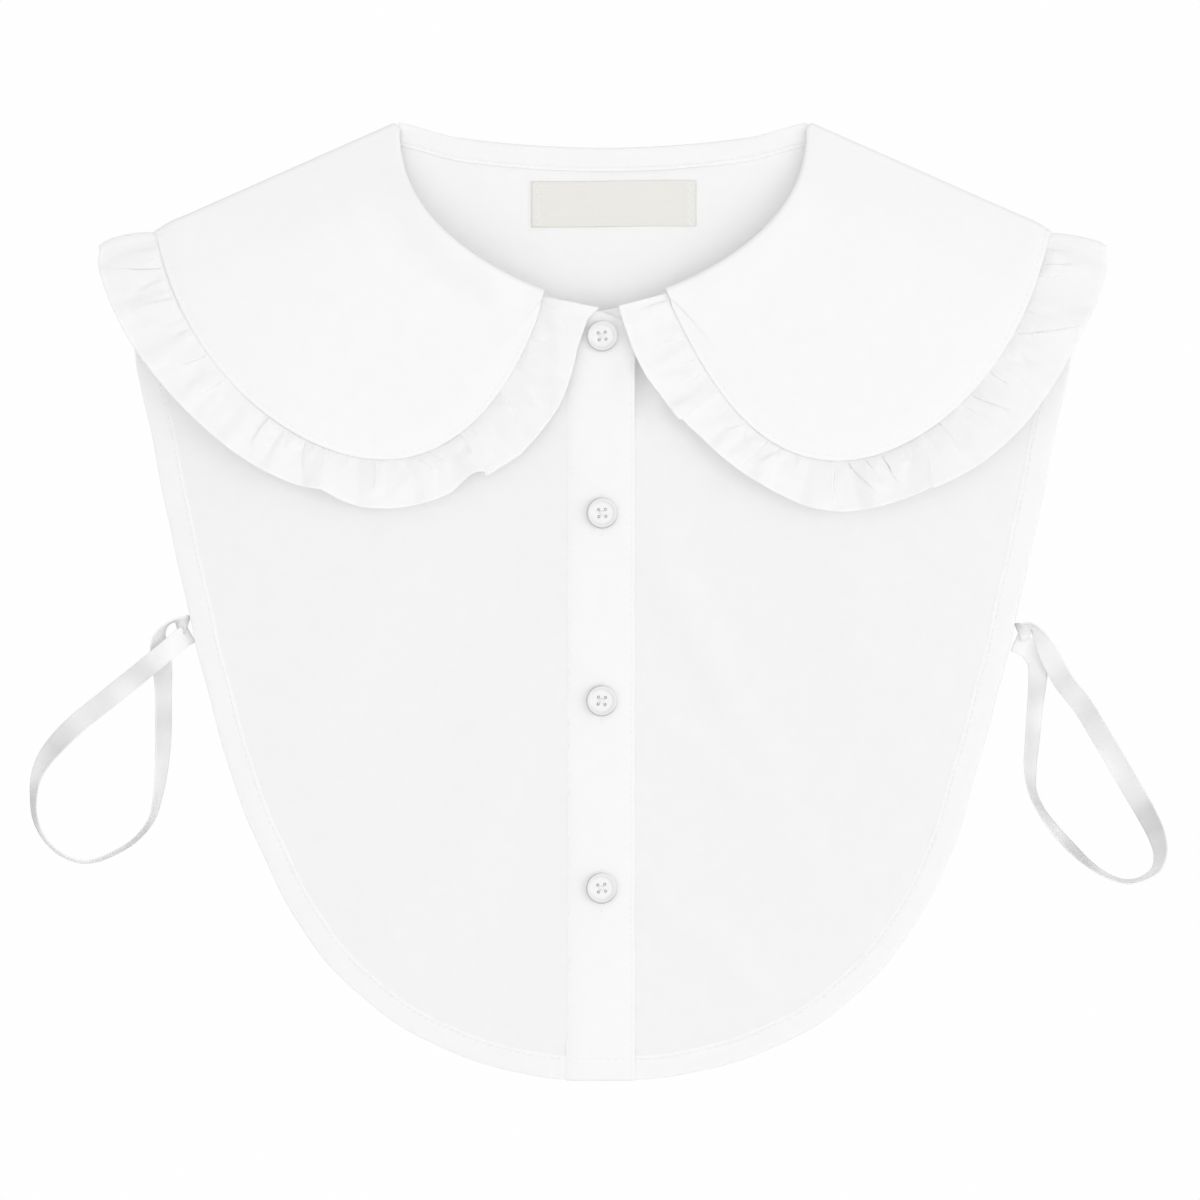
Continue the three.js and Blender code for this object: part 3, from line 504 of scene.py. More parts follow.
@dataclass
class Pattern:
    """The garment's outlines and the heights of its layers, on the half with positive x."""

    neck_end: Point = (72.7, 167.9)
    neck_side_handle: Point = (75.2, 137.0)
    neck_front_handle: Point = (38.0, 112.8)
    front_neck_y: float = 105.2
    back_neck_y: float = 162.4
    back_neck_rise: float = 7.2
    leaf_tip: Point = (159.9, 129.3)
    bib_fold_radius: float = 1.2
    layer: float = 1.5
    shoulder_z: float = 4.7
    back_low_z: float = 0.7
    back_high_z: float = 3.5
    back_step: Point = (-60.0, 20.0)
    chest_puff: float = 5.5
    centre_rise: float = 1.0
    rise_reach: Point = (9.0, 36.0)
    hem_puff: float = 2.5
    puff_y: Point = (-60.0, 60.0)
    puff_reach: float = 60.0
    shoulder_share: float = 0.88
    shoulder_handle: Point = (171.5, 112.0)
    armhole: Point = (167.5, 84.0)
    waist: Point = (149.8, 0.0)
    side_handle: Point = (127.8, -100.0)
    bottom_handle_x: float = 100.0
    bottom_y: float = -172.4
    neck_setback: float = 1.5
    shoulder_press: float = 0.47
    press_reach: float = 27.0
    fold_start: float = math.radians(20.0)
    ease_reach: float = 12.0
    seam_start: float = 6.0
    crease_fade: Point = (4.0, 26.0)
    edge_step: int = 5
    creases: tuple[Crease, ...] = (
        Crease(38, -22, -60, 110, 8, 1.6),
        Crease(44, -64, -40, 80, 7, 1.6),
        Crease(36, -124, -38, 60, 7, 1.8),
        Crease(28, 8, -68, 60, 7, 0.9),
        Crease(86, 10, -80, 80, 12, 1.0),
        Crease(-40, -60, 80, 90, 13, 1.0),
        Crease(-95, -20, 60, 80, 13, 0.9),
        Crease(-70, -110, 40, 70, 12, 0.9),
        Crease(-27, -33, -25, 36, 5, 0.7),
    )

    def __post_init__(self) -> None:
        """Works out the shoulder's directions and the main outlines."""
        self.shoulder_run = unit(np.subtract(self.leaf_tip, self.neck_end))
        self.shoulder_out = np.array([-self.shoulder_run[1], self.shoulder_run[0]])
        self.neckline = Outline(
            (self.neck_end, self.neck_side_handle, self.neck_front_handle, (0.0, self.front_neck_y))
        )
        self._edge = self.bib_edge(0.0).points[:: self.edge_step]

    def bib_edge(self, inset: float, centre_x: float = 0.0) -> Outline:
        """The bib's edge, from the shoulder seam down the side and round the hem.

        Args:
            inset: How far it lies in from the front's edge.
            centre_x: Where it ends at the bottom, at or past the middle.

        Returns:
            The outline.
        """
        scale = 1.0 - inset / self.armhole[0]
        bottom = self.bottom_y + inset
        shoulder = tuple(between(np.array(self.neck_end), np.array(self.leaf_tip), self.shoulder_share))
        handle, armhole, waist, side = (
            (x * scale, y) for x, y in (self.shoulder_handle, self.armhole, self.waist, self.side_handle)
        )
        pieces = [
            (shoulder, handle, armhole),
            (armhole, waist),
            (waist, side, (self.bottom_handle_x * scale, bottom), (0.0, bottom)),
        ]
        if centre_x < 0.0:
            pieces.append(((0.0, bottom), (centre_x, bottom)))
        return Outline(*pieces)

    def back_neck(self, x: Any) -> Any:
        """The back neckline's y at an x."""
        return self.back_neck_y + self.back_neck_rise * (x / self.neck_end[0]) ** 2

    def bib_neck(self, share: Any) -> Array:
        """Points of the bib's front neck seam, by the share from the shoulder to the front."""
        share = np.asarray(share, float)
        seam = self.neckline.at(share) + self.neck_setback * self.neckline.outward(share)
        start = np.array(self.neck_end) + self.neck_setback * self.shoulder_run
        joined = smooth_step(share * self.neckline.length, 0.0, self.seam_start)
        return between(start, seam, joined[..., None])

    def depth_from_edge(self, x: Array, y: Array) -> Array:
        """How far points lie in from the bib's edge, or 0 outside it."""
        place = np.stack([np.abs(x).ravel(), np.asarray(y, float).ravel()], axis=1)
        best = np.full(len(place), np.inf)
        inside = np.zeros(len(place), bool)
        for start, end in zip(self._edge, self._edge[1:]):
            run = end - start
            share = np.clip((place - start) @ run / (run @ run), 0.0, 1.0)
            gap = place - (start + share[:, None] * run)
            distance = np.hypot(gap[:, 0], gap[:, 1])
            turn = run[0] * (place[:, 1] - start[1]) - run[1] * (place[:, 0] - start[0])
            nearer = distance < best
            best = np.where(nearer, distance, best)
            inside = np.where(nearer, turn < 0.0, inside)
        return np.where(inside, best, 0.0).reshape(np.shape(x))

    def depth_from_shoulder(self, x: Array, y: Array) -> Array:
        """How far points lie in from the line of the shoulder folds."""
        away_x, away_y = np.abs(x) - self.neck_end[0], y - self.neck_end[1]
        return np.maximum(0.0, -(away_x * self.shoulder_out[0] + away_y * self.shoulder_out[1]))

    def back_z(self, y: Any) -> Any:
        """The height of the back bib's middle."""
        return between(self.back_low_z, self.back_high_z, smooth_step(y, *self.back_step))

    def settle(self, flat: Array) -> Array:
        """The share of their height that layers keep, which is less where the shoulders are pressed."""
        depth = self.depth_from_shoulder(flat[..., 0], flat[..., 1])
        rise = 1.0 - np.clip(depth / self.press_reach, 0.0, 1.0)
        return 1.0 - (1.0 - self.shoulder_press) * rise**2

    def eased(self, flat: Array, radius: float) -> Array:
        """Points drawn out towards the shoulder fold, so that the cloth runs into it without a bend."""
        depth = self.depth_from_shoulder(flat[..., 0], flat[..., 1])
        near = 1.0 - smooth_step(depth, 0.0, self.ease_reach)
        return flat + self.shoulder_out * (near * radius * math.sin(self.fold_start))[..., None]

    def front_z(self, x: Array, y: Array) -> Array:
        """The height of the front panels' middle, softly puffed up away from their edges."""

        def rounded(depth: Array) -> Array:
            return 1.0 - (1.0 - np.minimum(depth / self.puff_reach, 1.0)) ** 2

        puff = between(self.hem_puff, self.chest_puff, smooth_step(y, *self.puff_y))
        puff = puff + self.centre_rise * (1.0 - smooth_step(np.abs(x), *self.rise_reach))
        share = rounded(self.depth_from_edge(x, y)) * rounded(self.depth_from_shoulder(x, y))
        return self.back_z(y) + 2.0 * self.bib_fold_radius + puff * share

    def relief(self, x: Array, y: Array, more: tuple[Crease, ...] = ()) -> Array:
        """The soft creases of the laid fronts and any more, which fade out at the hem."""
        total = np.zeros(np.shape(x))
        for crease in self.creases + more:
            angle = math.radians(crease.angle)
            run = (x - crease.x) * math.cos(angle) + (y - crease.y) * math.sin(angle)
            side = (x - crease.x) * math.sin(angle) - (y - crease.y) * math.cos(angle)
            end = (run / (0.5 * crease.length)) ** 4
            total += crease.height * np.exp(-end - (side / crease.width) ** 2)
        return total * smooth_step(self.depth_from_edge(x, y), *self.crease_fade)

    def laid(self, flat: Array, lift: Any, side: Side, above: float) -> Array:
        """Lays points on the front.

        Args:
            flat: Points on the half with positive x.
            lift: How far each lies above its layer.
            side: The half that they are for.
            above: The height of the layer above the front panels' middle.

        Returns:
            Points with three coordinates, still with positive x.
        """
        height = self.front_z(side.value * flat[..., 0], flat[..., 1]) + above + lift
        return self.at_height(flat, height)

    def at_height(self, flat: Array, height: Array) -> Array:
        """Points at a height that the pressed shoulders bring down."""
        return np.concatenate([flat, (height * self.settle(flat))[..., None]], axis=-1)

    def folded(
        self, row: Array, lift: Any, radius: float, out: Array, turns: Array,
        start: float = 0.0,
    ) -> Array:
        """Copies a row of points round a shoulder fold.

        Args:
            row: Points of the flat pattern.
            lift: How far each lies above its layer.
            radius: The fold's radius at the layer.
            out: The direction in which the fold bulges.
            turns: How far each copy has turned, from 0 at the front to half a turn at the back.
            start: The slope at which the front runs into the fold.

        Returns:
            Rows of points with three coordinates.
        """
        angle = (start + (1.0 - start / math.pi) * turns)[:, None]
        reach = radius + lift
        moved = row + out * (reach * np.sin(angle))[..., None]
        height = (self.shoulder_z + reach * np.cos(angle)) * self.settle(row)
        return np.concatenate([moved, height[..., None]], axis=-1)

    def over_shoulder(
        self, row: Array, lift: Any, radius: float, out: Array, count: int
    ) -> Array:
        """Evenly turned copies of a row, between the front and the back."""
        turns = np.arange(1, count + 1) / (count + 1) * math.pi
        return self.folded(row, lift, radius, out, turns, self.fold_start)


# Cloth and stitches


def mirrored(points: Array) -> Array:
    """The same points on the other side of the middle."""
    return points * np.array([-1.0, 1.0, 1.0])


def new_piece(
    name: str, mesh: bpy.types.Mesh, material: Material
) -> Object:
    """Makes an object of a mesh, at the origin, and gives it its finish and body."""
    piece = bpy.data.objects.new(name, mesh)
    bpy.context.scene.collection.objects.link(piece)
    mesh.materials.clear()
    mesh.materials.append(material)
    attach(piece, BODY)
    log.info("%s: %d faces", name, len(mesh.polygons))
    return piece


def build_mesh(name: str, corners: Array, faces: Sequence[Sequence[int]]) -> bpy.types.Mesh:
    """A smooth mesh from corners in millimetres and its faces."""
    mesh = bpy.data.meshes.new(name)
    mesh.from_pydata((corners * MM).tolist(), [], faces)
    mesh.polygons.foreach_set("use_smooth", np.ones(len(mesh.polygons), bool))
    mesh.update()
    return mesh


class Cloth:
    """A piece of cloth: a grid of points on its middle, with its wall, its weave's map and its plies."""

    rounding = 0.3

    def __init__(
        self, points: Array, wall: Any, weave: Array | None = None, ply: Any = 0.0
    ) -> None:
        """Keeps the grid.

        Args:
            points: Rows and columns of points, in millimetres.
            wall: The thickness at each.
            weave: Where each lies in the flat cloth, or None for its own x and y.
            ply: 0 for a single layer and 1 for a double one.
        """
        self.points = points
        shape = points.shape[:2]
        self.wall = np.broadcast_to(wall, shape)
        self.weave = points[..., :2] if weave is None else weave
        self.ply = np.broadcast_to(ply, shape)
        rows, columns = (np.gradient(points, axis=k) for k in (0, 1))
        self.normals = unit(np.cross(columns, rows))
        if self.normals[0, :, 2].mean() < 0.0:
            self.normals = -self.normals

    def _rim(self) -> Array:
        """The grid places round the border, in order."""
        rows, columns = self.points.shape[:2]
        top = [(0, c) for c in range(columns)]
        right = [(r, columns - 1) for r in range(1, rows)]
        bottom = [(rows - 1, c) for c in range(columns - 2, -1, -1)]
        left = [(r, 0) for r in range(rows - 2, 0, -1)]
        return np.array(top + right + bottom + left)

    def _rounding(self, rim: Array) -> Array:
        """Points just outside the border, which round the cloth's edge."""
        rows, columns = self.points.shape[:2]
        inner = np.stack([np.clip(rim[:, 0], 1, rows - 2), np.clip(rim[:, 1], 1, columns - 2)], axis=1)
        at = self.points[rim[:, 0], rim[:, 1]]
        out = unit(at - self.points[inner[:, 0], inner[:, 1]])
        return at + out * self.rounding * self.wall[rim[:, 0], rim[:, 1]][:, None]

    def piece(self, name: str, material: Material, slot: str) -> Object:
        """Makes the closed piece, with rounded edges and its cloth map."""
        rows, columns = self.points.shape[:2]
        half = 0.5 * self.wall[..., None] * self.normals
        rim = self._rim()
        corners = np.concatenate([
            (self.points + half).reshape(-1, 3), (self.points - half).reshape(-1, 3), self._rounding(rim)
        ])
        grid = np.arange(rows * columns).reshape(rows, columns)
        quads = np.stack([grid[:-1, :-1], grid[:-1, 1:], grid[1:, 1:], grid[1:, :-1]], axis=-1).reshape(-1, 4)
        edge = grid[rim[:, 0], rim[:, 1]]
        after = np.roll(edge, -1)
        ring = 2 * rows * columns + np.arange(len(rim))
        ring_after = np.roll(ring, -1)
        faces = np.concatenate([
            quads,
            quads[:, ::-1] + rows * columns,
            np.stack([after, edge, ring, ring_after], axis=1),
            np.stack([ring_after, ring, edge + rows * columns, after + rows * columns], axis=1),
        ])
        a, b, c, d = (corners[faces[:, k]] for k in range(4))
        volume = (a * np.cross(b, c)).sum() + (a * np.cross(c, d)).sum()
        mesh = build_mesh(name, corners, (faces if volume > 0.0 else faces[:, ::-1]).tolist())
        weave, ply = (
            np.concatenate([values, values, values[edge]])
            for values in (self.weave.reshape(-1, 2) * MM, self.ply.reshape(-1))
        )
        loops = np.empty(len(mesh.loops), np.int32)
        mesh.loops.foreach_get("vertex_index", loops)
        mesh.uv_layers.new(name=CLOTH_MAP).data.foreach_set("uv", weave[loops].ravel())
        mesh.attributes.new(PLY, "FLOAT", "POINT").data.foreach_set("value", ply.astype(np.float32))
        return new_piece(name, mesh, material)

    def trace(self, rows: Array, columns: Array) -> tuple[Array, Array]:
        """Points on the cloth's show side, and its normals there.

        Args:
            rows: The rows to go through, which may be fractions.
            columns: The columns, likewise.

        Returns:
            The points and the normals.
        """
        top = self.points + 0.5 * self.wall[..., None] * self.normals
        last_row, last_column = (size - 1 for size in self.points.shape[:2])
        r, c = np.broadcast_arrays(np.clip(rows, 0, last_row), np.clip(columns, 0, last_column))
        r0, c0 = np.minimum(r.astype(int), last_row - 1), np.minimum(c.astype(int), last_column - 1)
        down, over = (r - r0)[..., None], (c - c0)[..., None]
        found = []
        for grid in (top, self.normals):
            near, far = (between(grid[r0 + k, c0], grid[r0 + k, c0 + 1], over) for k in (0, 1))
            found.append(between(near, far, down))
        return found[0], unit(found[1])


@dataclass
class StitchRun:
    """Sewing stitches: one is modelled, and copied along each line."""

    thread: Material
    pitch: float = 2.5
    length: float = 2.0
    thick: float = 0.34
    # How unevenly the stitches are slanted and how their lengths differ, as shares
    slant: float = 0.05
    uneven: float = 0.04
    # How far the middle stands proud and the ends dive, as shares of the thickness
    proud: float = 0.12
    dive: float = 0.55
    look: float = 0.4
    seed: int = 11

    def __post_init__(self) -> None:
        """Models one stitch, a short thread with rounded ends that lies along X."""
        bpy.ops.object.select_all(action="DESELECT")
        bpy.ops.mesh.primitive_uv_sphere_add(
            segments=6, ring_count=5, radius=1.0, rotation=(0.0, math.pi / 2, 0.0)
        )
        bpy.ops.object.transform_apply(location=False, rotation=True, scale=False)
        model = bpy.context.object
        self._corners = np.array([v.co for v in model.data.vertices])
        self._faces = [tuple(p.vertices) for p in model.data.polygons]
        self._random = np.random.default_rng(self.seed)
        bpy.data.objects.remove(model)

    def spread(self, line: Array, normals: Array) -> tuple[Array, ...]:
        """Even places along a line, with the directions there.

        Args:
            line: Points of the line.
            normals: The cloth's normals at them.

        Returns:
            The middles of the stitches, their directions, and the normals.
        """
        reach = reach_along(line)
        count = max(1, int(reach[-1] / self.pitch))
        at = (np.arange(count) + 0.5) * reach[-1] / count

        def pick(values: Array, distance: Array) -> Array:
            return np.stack([np.interp(distance, reach, values[:, k]) for k in range(3)], axis=1)

        run = unit(pick(line, at + self.look) - pick(line, at - self.look))
        return pick(line, at), run, unit(pick(normals, at))

    def sew(
        self, name: str, middles: Array, runs: Array, normals: Array,
        slot: str = "cotton_poplin", length: float | None = None, thick: float | None = None,
    ) -> Object:
        """Makes one piece of stitches.

        Args:
            name: The piece's name.
            middles: The middle of each stitch.
            runs: Its direction.
            normals: The cloth's normal there.
            slot: The record's material slot.
            length: The stitches' length, or None for the usual one.
            thick: The thread's thickness, or None for the usual one.

        Returns:
            The piece.
        """
        length, thick = length or self.length, thick or self.thick
        count = len(middles)
        sides = unit(np.cross(normals, runs))
        slant = self._random.normal(0.0, self.slant, (count, 1))
        runs = unit(runs + slant * sides)
        sides = unit(np.cross(normals, runs))
        long = length * self._random.normal(1.0, self.uneven, (count, 1, 1))
        x, y, z = (self._corners[None, :, k : k + 1] for k in range(3))
        rise = z * thick / 2 + self.proud * thick - self.dive * thick * np.abs(x) ** 2
        corners = (
            middles[:, None, :] + runs[:, None, :] * x * long / 2 + sides[:, None, :] * y * thick / 2
            + normals[:, None, :] * rise
        )
        size = len(self._corners)
        faces = [tuple(i * size + v for v in face) for i in range(count) for face in self._faces]
        return new_piece(name, build_mesh(name, corners.reshape(-1, 3), faces), self.thread)

    def along(self, name: str, cloth: Cloth, rows: Array, columns: Any) -> Object:
        """Sews along a line on a cloth's show side."""
        return self.sew(name, *self.spread(*cloth.trace(rows, columns)))


# The studio


class SoftBox(NamedTuple):
    """A square soft box: its place and size in metres, its power in watts and whether it casts shadows."""

    name: str
    place: Place
    size: float
    power: float
    shadows: bool

    def hang(self) -> None:
        """Hangs the box so that it points at the middle of the table."""
        data = bpy.data.lights.new(self.name, "AREA")
        data.shape = "SQUARE"
        data.size = self.size
        data.energy = self.power
        data.use_shadow = self.shadows
        box = bpy.data.objects.new(self.name, data)
        box.location = self.place
        box.rotation_euler = (-Vector(self.place)).to_track_quat("-Z", "Y").to_euler()
        bpy.context.scene.collection.objects.link(box)


@dataclass
class Studio:
    """The camera straight above, the white table and the soft light. Lengths are in metres."""

    frame_width: float = 0.432
    centre: Point = (-0.00108, 0.0)
    camera_height: float = 4.0
    sensor: float = 36.0
    clips: Point = (0.05, 60.0)
    table: float = 40.0
    table_z: float = -0.0003
    reflector_drop: float = 0.0002
    white: float = 0.992
    world: float = 0.68
    boxes: tuple[SoftBox, ...] = (
        SoftBox("soft_box_right", (5.6, -0.4, 4.7), 4.5, 104.0, True),
        SoftBox("soft_box_front", (-3.6, -0.8, 5.0), 6.0, 42.0, True),
        # The photograph's shadows are lifted, so a third box lights the folds as well.
        SoftBox("soft_box_top", (0.0, 0.0, 6.0), 6.0, 84.0, False),
    )

    def set_camera(self) -> None:
        """Hangs the camera over the table, with the photograph's frame."""
        data = bpy.data.cameras.new("camera")
        data.type = "PERSP"
        data.sensor_width = self.sensor
        data.lens = self.sensor * self.camera_height / self.frame_width
        data.clip_start, data.clip_end = self.clips
        camera = bpy.data.objects.new("camera", data)
        camera.location = (*self.centre, self.camera_height)
        bpy.context.scene.collection.objects.link(camera)
        bpy.context.scene.camera = camera

    def _plane(self, name: str, drop: float, material: Material) -> Object:
        """Adds one square plane of the table."""
        bpy.ops.object.select_all(action="DESELECT")
        bpy.ops.mesh.primitive_plane_add(size=self.table, location=(0.0, 0.0, self.table_z - drop))
        plane = bpy.context.object
        plane.name = name
        plane.data.materials.append(material)
        return plane

    def lay_table(self) -> None:
        """Adds the table as two planes, the white that the camera sees and the one that reflects light."""
        backdrop, tree = new_material("white_backdrop")
        glow = add_node(tree, "ShaderNodeEmission", {}, {"Color": WHITE, "Strength": self.white})
        add_node(tree, "ShaderNodeOutputMaterial", {}, {"Surface": glow[0]})
        seen = self._plane("table_white", 0.0, backdrop)
        for ray in ("diffuse", "glossy", "transmission", "volume_scatter", "shadow"):
            setattr(seen, f"visible_{ray}", False)
        matt, tree = new_material("matt_table")
        finish_material(tree, {"Base Color": linear("#E4E4E4"), "Roughness": 0.9})
        self._plane("table_reflector", self.reflector_drop, matt).visible_camera = False

    def light(self) -> None:
        """Lights the even white room, and hangs its three soft boxes."""
        scene = bpy.context.scene
        scene.view_settings.view_transform = "Standard"
        scene.view_settings.look = "None"
        scene.world = bpy.data.worlds.new("soft_room")
        scene.world.use_nodes = True
        tree = scene.world.node_tree
        tree.nodes.clear()
        room = add_node(tree, "ShaderNodeBackground", {}, {"Color": WHITE, "Strength": self.world})
        add_node(tree, "ShaderNodeOutputWorld", {}, {"Surface": room[0]})
        for box in self.boxes:
            box.hang()


# Ribbons


class Station(NamedTuple):
    """A place on a ribbon's route: its middle, how far it is turned up in degrees, and its lift."""

    x: float
    y: float
    roll: float
    lift: float


ROUTES: dict[Side, tuple[Station, ...]] = {
    Side.LEFT: tuple(Station(*place) for place in (
        (-149.4, -9, 0, 2.6), (-151.2, -8.4, -35, 1.2), (-153.6, -7.3, -78, 0.3), (-156.6, -8.4, -84, 0),
        (-159.2, -11.8, -66, 0), (-159.8, -16.4, -30, 0), (-158.9, -21.6, -12, 0),
        (-158.3, -31.9, -36, 0), (-158.2, -43.2, -38, 0), (-158.4, -53.3, -44, 0),
        (-159.3, -63.9, -57, 0), (-160.4, -71.1, -67, 0), (-162.2, -78.1, -75, 0),
        (-167.5, -85.3, -79, 0), (-174.7, -90.3, -80, 0), (-186.1, -94, -81, 0), (-194.6, -91.4, -80, 0),
        (-201, -85.3, -78, 0), (-204.2, -78.1, -75, 0), (-204.7, -71.1, -70, 0), (-203.8, -64, -57, 0),
        (-201, -57.6, -38, 0), (-196, -51.1, -18, 0), (-188.9, -44.1, -5, 0), (-181.8, -38.4, 0, 0.3),
        (-174.7, -32.7, 0, 1), (-167.5, -27, 0, 2.8), (-160.4, -21.2, 0, 4.7), (-155, -16.8, 0, 4.4),
        (-151.2, -13.6, 0, 2.9), (-148.4, -12, 0, 1.6),
    )),
    Side.RIGHT: tuple(Station(*place) for place in (
        (149.4, -11.8, 0, 2.6), (151.2, -11, 30, 1.6), (153.4, -9.4, 66, 0.8), (155, -9.8, 70, 0.6),
        (157, -12.6, 52, 1), (159.2, -16.8, 24, 2.4), (161.4, -21.6, 6, 2), (165.8, -29.4, 0, 0.8),
        (172.4, -37.8, 0, 0.2), (178.6, -47.9, 0, 0), (184.6, -58, 0, 0), (190.4, -68, 4, 0),
        (195.6, -77, 14, 0), (199.2, -84.6, 32, 0), (200.6, -91.4, 52, 0), (199, -97, 68, 0),
        (194.8, -100.2, 78, 0), (188.8, -101.6, 80, 0), (181.8, -99.6, 78, 0), (175.2, -95.4, 72, 0),
        (168.2, -89, 62, 0), (162.2, -82.4, 62, 0), (157.6, -76, 68, 0), (154.4, -69, 66, 0),
        (153.6, -60, 50, 0), (154.4, -50, 42, 0), (155.2, -40, 38, 0), (156.2, -30, 24, 0),
        (156.2, -22, 4, 0.1), (152.6, -17, 0, 0.5), (148.2, -15, 0, 1.6),
    )),
}


@dataclass
class RibbonLoop:
    """A satin ribbon whose two ends are sewn into the hem, lying in a small ring and a long loop."""

    side: Side
    width: float = 7.0
    wall: float = 0.36
    selvedge: float = 0.5
    selvedge_from: float = 0.8
    curl: float = 0.35
    curl_level: float = 0.4
    steps: int = 420
    step_power: float = 0.75
    path_step: int = 4
    across: int = 12
    real_length: float = 225.0

    def _smooth(self) -> Array:
        """Stations at many even steps of the route, on a smooth curve through those given."""
        rows = np.array(ROUTES[self.side], float)
        chord = reach_along(rows[:, :2], self.step_power)
        slope = np.gradient(rows, chord, axis=0)
        at = np.linspace(0.0, chord[-1], self.steps)
        i = np.clip(np.searchsorted(chord, at, side="right") - 1, 0, len(chord) - 2)
        span = (chord[i + 1] - chord[i])[:, None]
        s = (at - chord[i])[:, None] / span
        leave = s * (1.0 - s) ** 2 * span * slope[i]
        arrive = s * s * (s - 1.0) * span * slope[i + 1]
        return between(rows[i], rows[i + 1], s * s * (3.0 - 2.0 * s)) + leave + arrive

    def build(self, finishes: Finishes) -> None:
        """Sweeps the ribbon, turning it on its edge where the route says."""
        rows = self._smooth()
        roll = np.radians(rows[:, 2])
        rise = np.abs(np.sin(roll)) * self.width / 2 + np.cos(roll) * self.wall / 2
        middle = np.concatenate([rows[:, :2], (np.maximum(rows[:, 3], 0.0) + rise)[:, None]], axis=1)
        run = unit(np.gradient(middle[:, :2], axis=0))
        level = np.stack([-run[:, 1], run[:, 0], np.zeros(len(run))], axis=1)
        across = level * np.cos(roll)[:, None] + UP * np.sin(roll)[:, None]
        through = -level * np.sin(roll)[:, None] + UP * np.cos(roll)[:, None]
        place = np.linspace(-1.0, 1.0, self.across)
        curl = self.curl * (place**2 - self.curl_level)
        points = (
            middle[:, None, :] + across[:, None, :] * (place * self.width / 2)[None, :, None]
            + through[:, None, :] * curl[None, :, None]
        )
        points[..., 2] = np.maximum(points[..., 2], self.wall / 2)
        wall = between(self.wall, self.selvedge, smooth_step(np.abs(place), self.selvedge_from, 1.0))
        reach = reach_along(middle)
        weave = np.stack(np.broadcast_arrays(reach[:, None], place * self.width / 2), axis=-1)
        name = f"satin_ribbon_{self.side.name.lower()}"
        piece = Cloth(points, wall, weave).piece(name, finishes.satin, "satin_ribbon")
        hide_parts(f"ribbon_loop_{self.side.name.lower()}")
        log.info("%s is %.0f mm long", name, reach[-1])


# Bibs


def edge_directions(outline: Outline, shares: Array, inner: Array, ends: Point) -> Array:
    """Directions in from an edge: square to it, but along the rows near its two ends.

    Args:
        outline: The edge.
        shares: The rows' shares of it.
        inner: The rows' inner points.
        ends: How much of the edge, in millimetres, each end takes to turn.

    Returns:
        Unit directions.
    """
    along_row = unit(inner - outline.at(shares))
    distance = np.asarray(shares) * outline.length
    share = smooth_step(distance, 0.0, ends[0]) * smooth_step(outline.length - distance, 0.0, ends[1])
    return unit(between(along_row, -outline.outward(shares), share[:, None]))


@dataclass
class Bib:
    """What the front panels and the back bib share: a turned hem round a fan of rows."""

    pattern: Pattern
    cloth: float = 0.5
    hem: float = 1.05
    rim: float = 0.7
    rim_width: float = 1.0
    hem_walls: Point = (7.5, 8.6)
    hem_plies: Point = (7.8, 8.5)
    stitch_in: float = 7.0
    groove: float = 0.22
    groove_width: float = 0.45
    ends: Point = (26.0, 12.0)
    seam_turns: tuple[float, ...] = (84.0, 66.0, 50.0, 35.0, 20.0, 9.0)
    margins: tuple[float, ...] = (
        0.0, 0.35, 0.9, 1.8, 3.0, 4.2, 5.2, 5.9, 6.4, 6.8, 7.2, 7.6, 8.1, 8.6, 9.4, 11.0, 14.0
    )
    inner_columns: int = 26

    def _all_margins(self) -> Array:
        """The margin at each column of the grid."""
        return padded(self.margins, len(self.margins) + self.inner_columns)

    def _fan(self, edge: Outline, share: Array, inner: Array, outer: Array) -> Array:
        """Rows of flat points from the edge in.

        Args:
            edge: The bib's edge.
            share: The rows' shares of it.
            inner: The rows' inner ends.
            outer: The rows' ends on the edge.

        Returns:
            Rows and columns of flat points.
        """
        inwards = edge_directions(edge, share, inner, self.ends)
        near = outer[:, None, :] + inwards[:, None, :] * np.array(self.margins)[None, :, None]
        onward = np.arange(1, self.inner_columns + 1) / self.inner_columns
        far = between(near[:, -1:, :], inner[:, None, :], onward[None, :, None])
        return np.concatenate([near, far], axis=1)

    def _seam(self, flat: Array) -> Array:
        """Rows that turn round the shoulder seam."""
        pattern = self.pattern
        turns = np.radians(self.seam_turns)
        return pattern.folded(flat[0], 0.0, pattern.bib_fold_radius, pattern.shoulder_out, turns)

    def _sheet(self, points: Array, least_ply: float = 0.0) -> Cloth:
        """The cloth, thicker in the hem and drawn in along its stitches."""
        margins = self._all_margins()
        wall = between(self.hem, self.cloth, smooth_step(margins, *self.hem_walls))
        wall = wall - self.groove * bell(margins, self.stitch_in, self.groove_width)
        wall = wall * between(self.rim, 1.0, smooth_step(margins, 0.0, self.rim_width))
        ply = np.maximum(least_ply, 1.0 - smooth_step(margins, *self.hem_plies))
        return Cloth(points, wall[None, :], ply=ply[None, :])


class Sway(NamedTuple):
    """How far a panel's lower side moves out, the depths that it does so over, and where it's in full."""

    out: float
    depths: Point
    full_x: float


# The lower left is tucked in and the lower right swings out a little, as they do in the photograph.
TUCKED_IN = Sway(-1.5, (125.0, 158.0), 60.0)
SWUNG_OUT = Sway(2.8, (60.0, 95.0), 90.0)
# The right panel also drops away from the gaping edge of the placket.
PLACKET_DROP = Crease(13.4, 80.0, 90, 27, 1.8, -2.8)


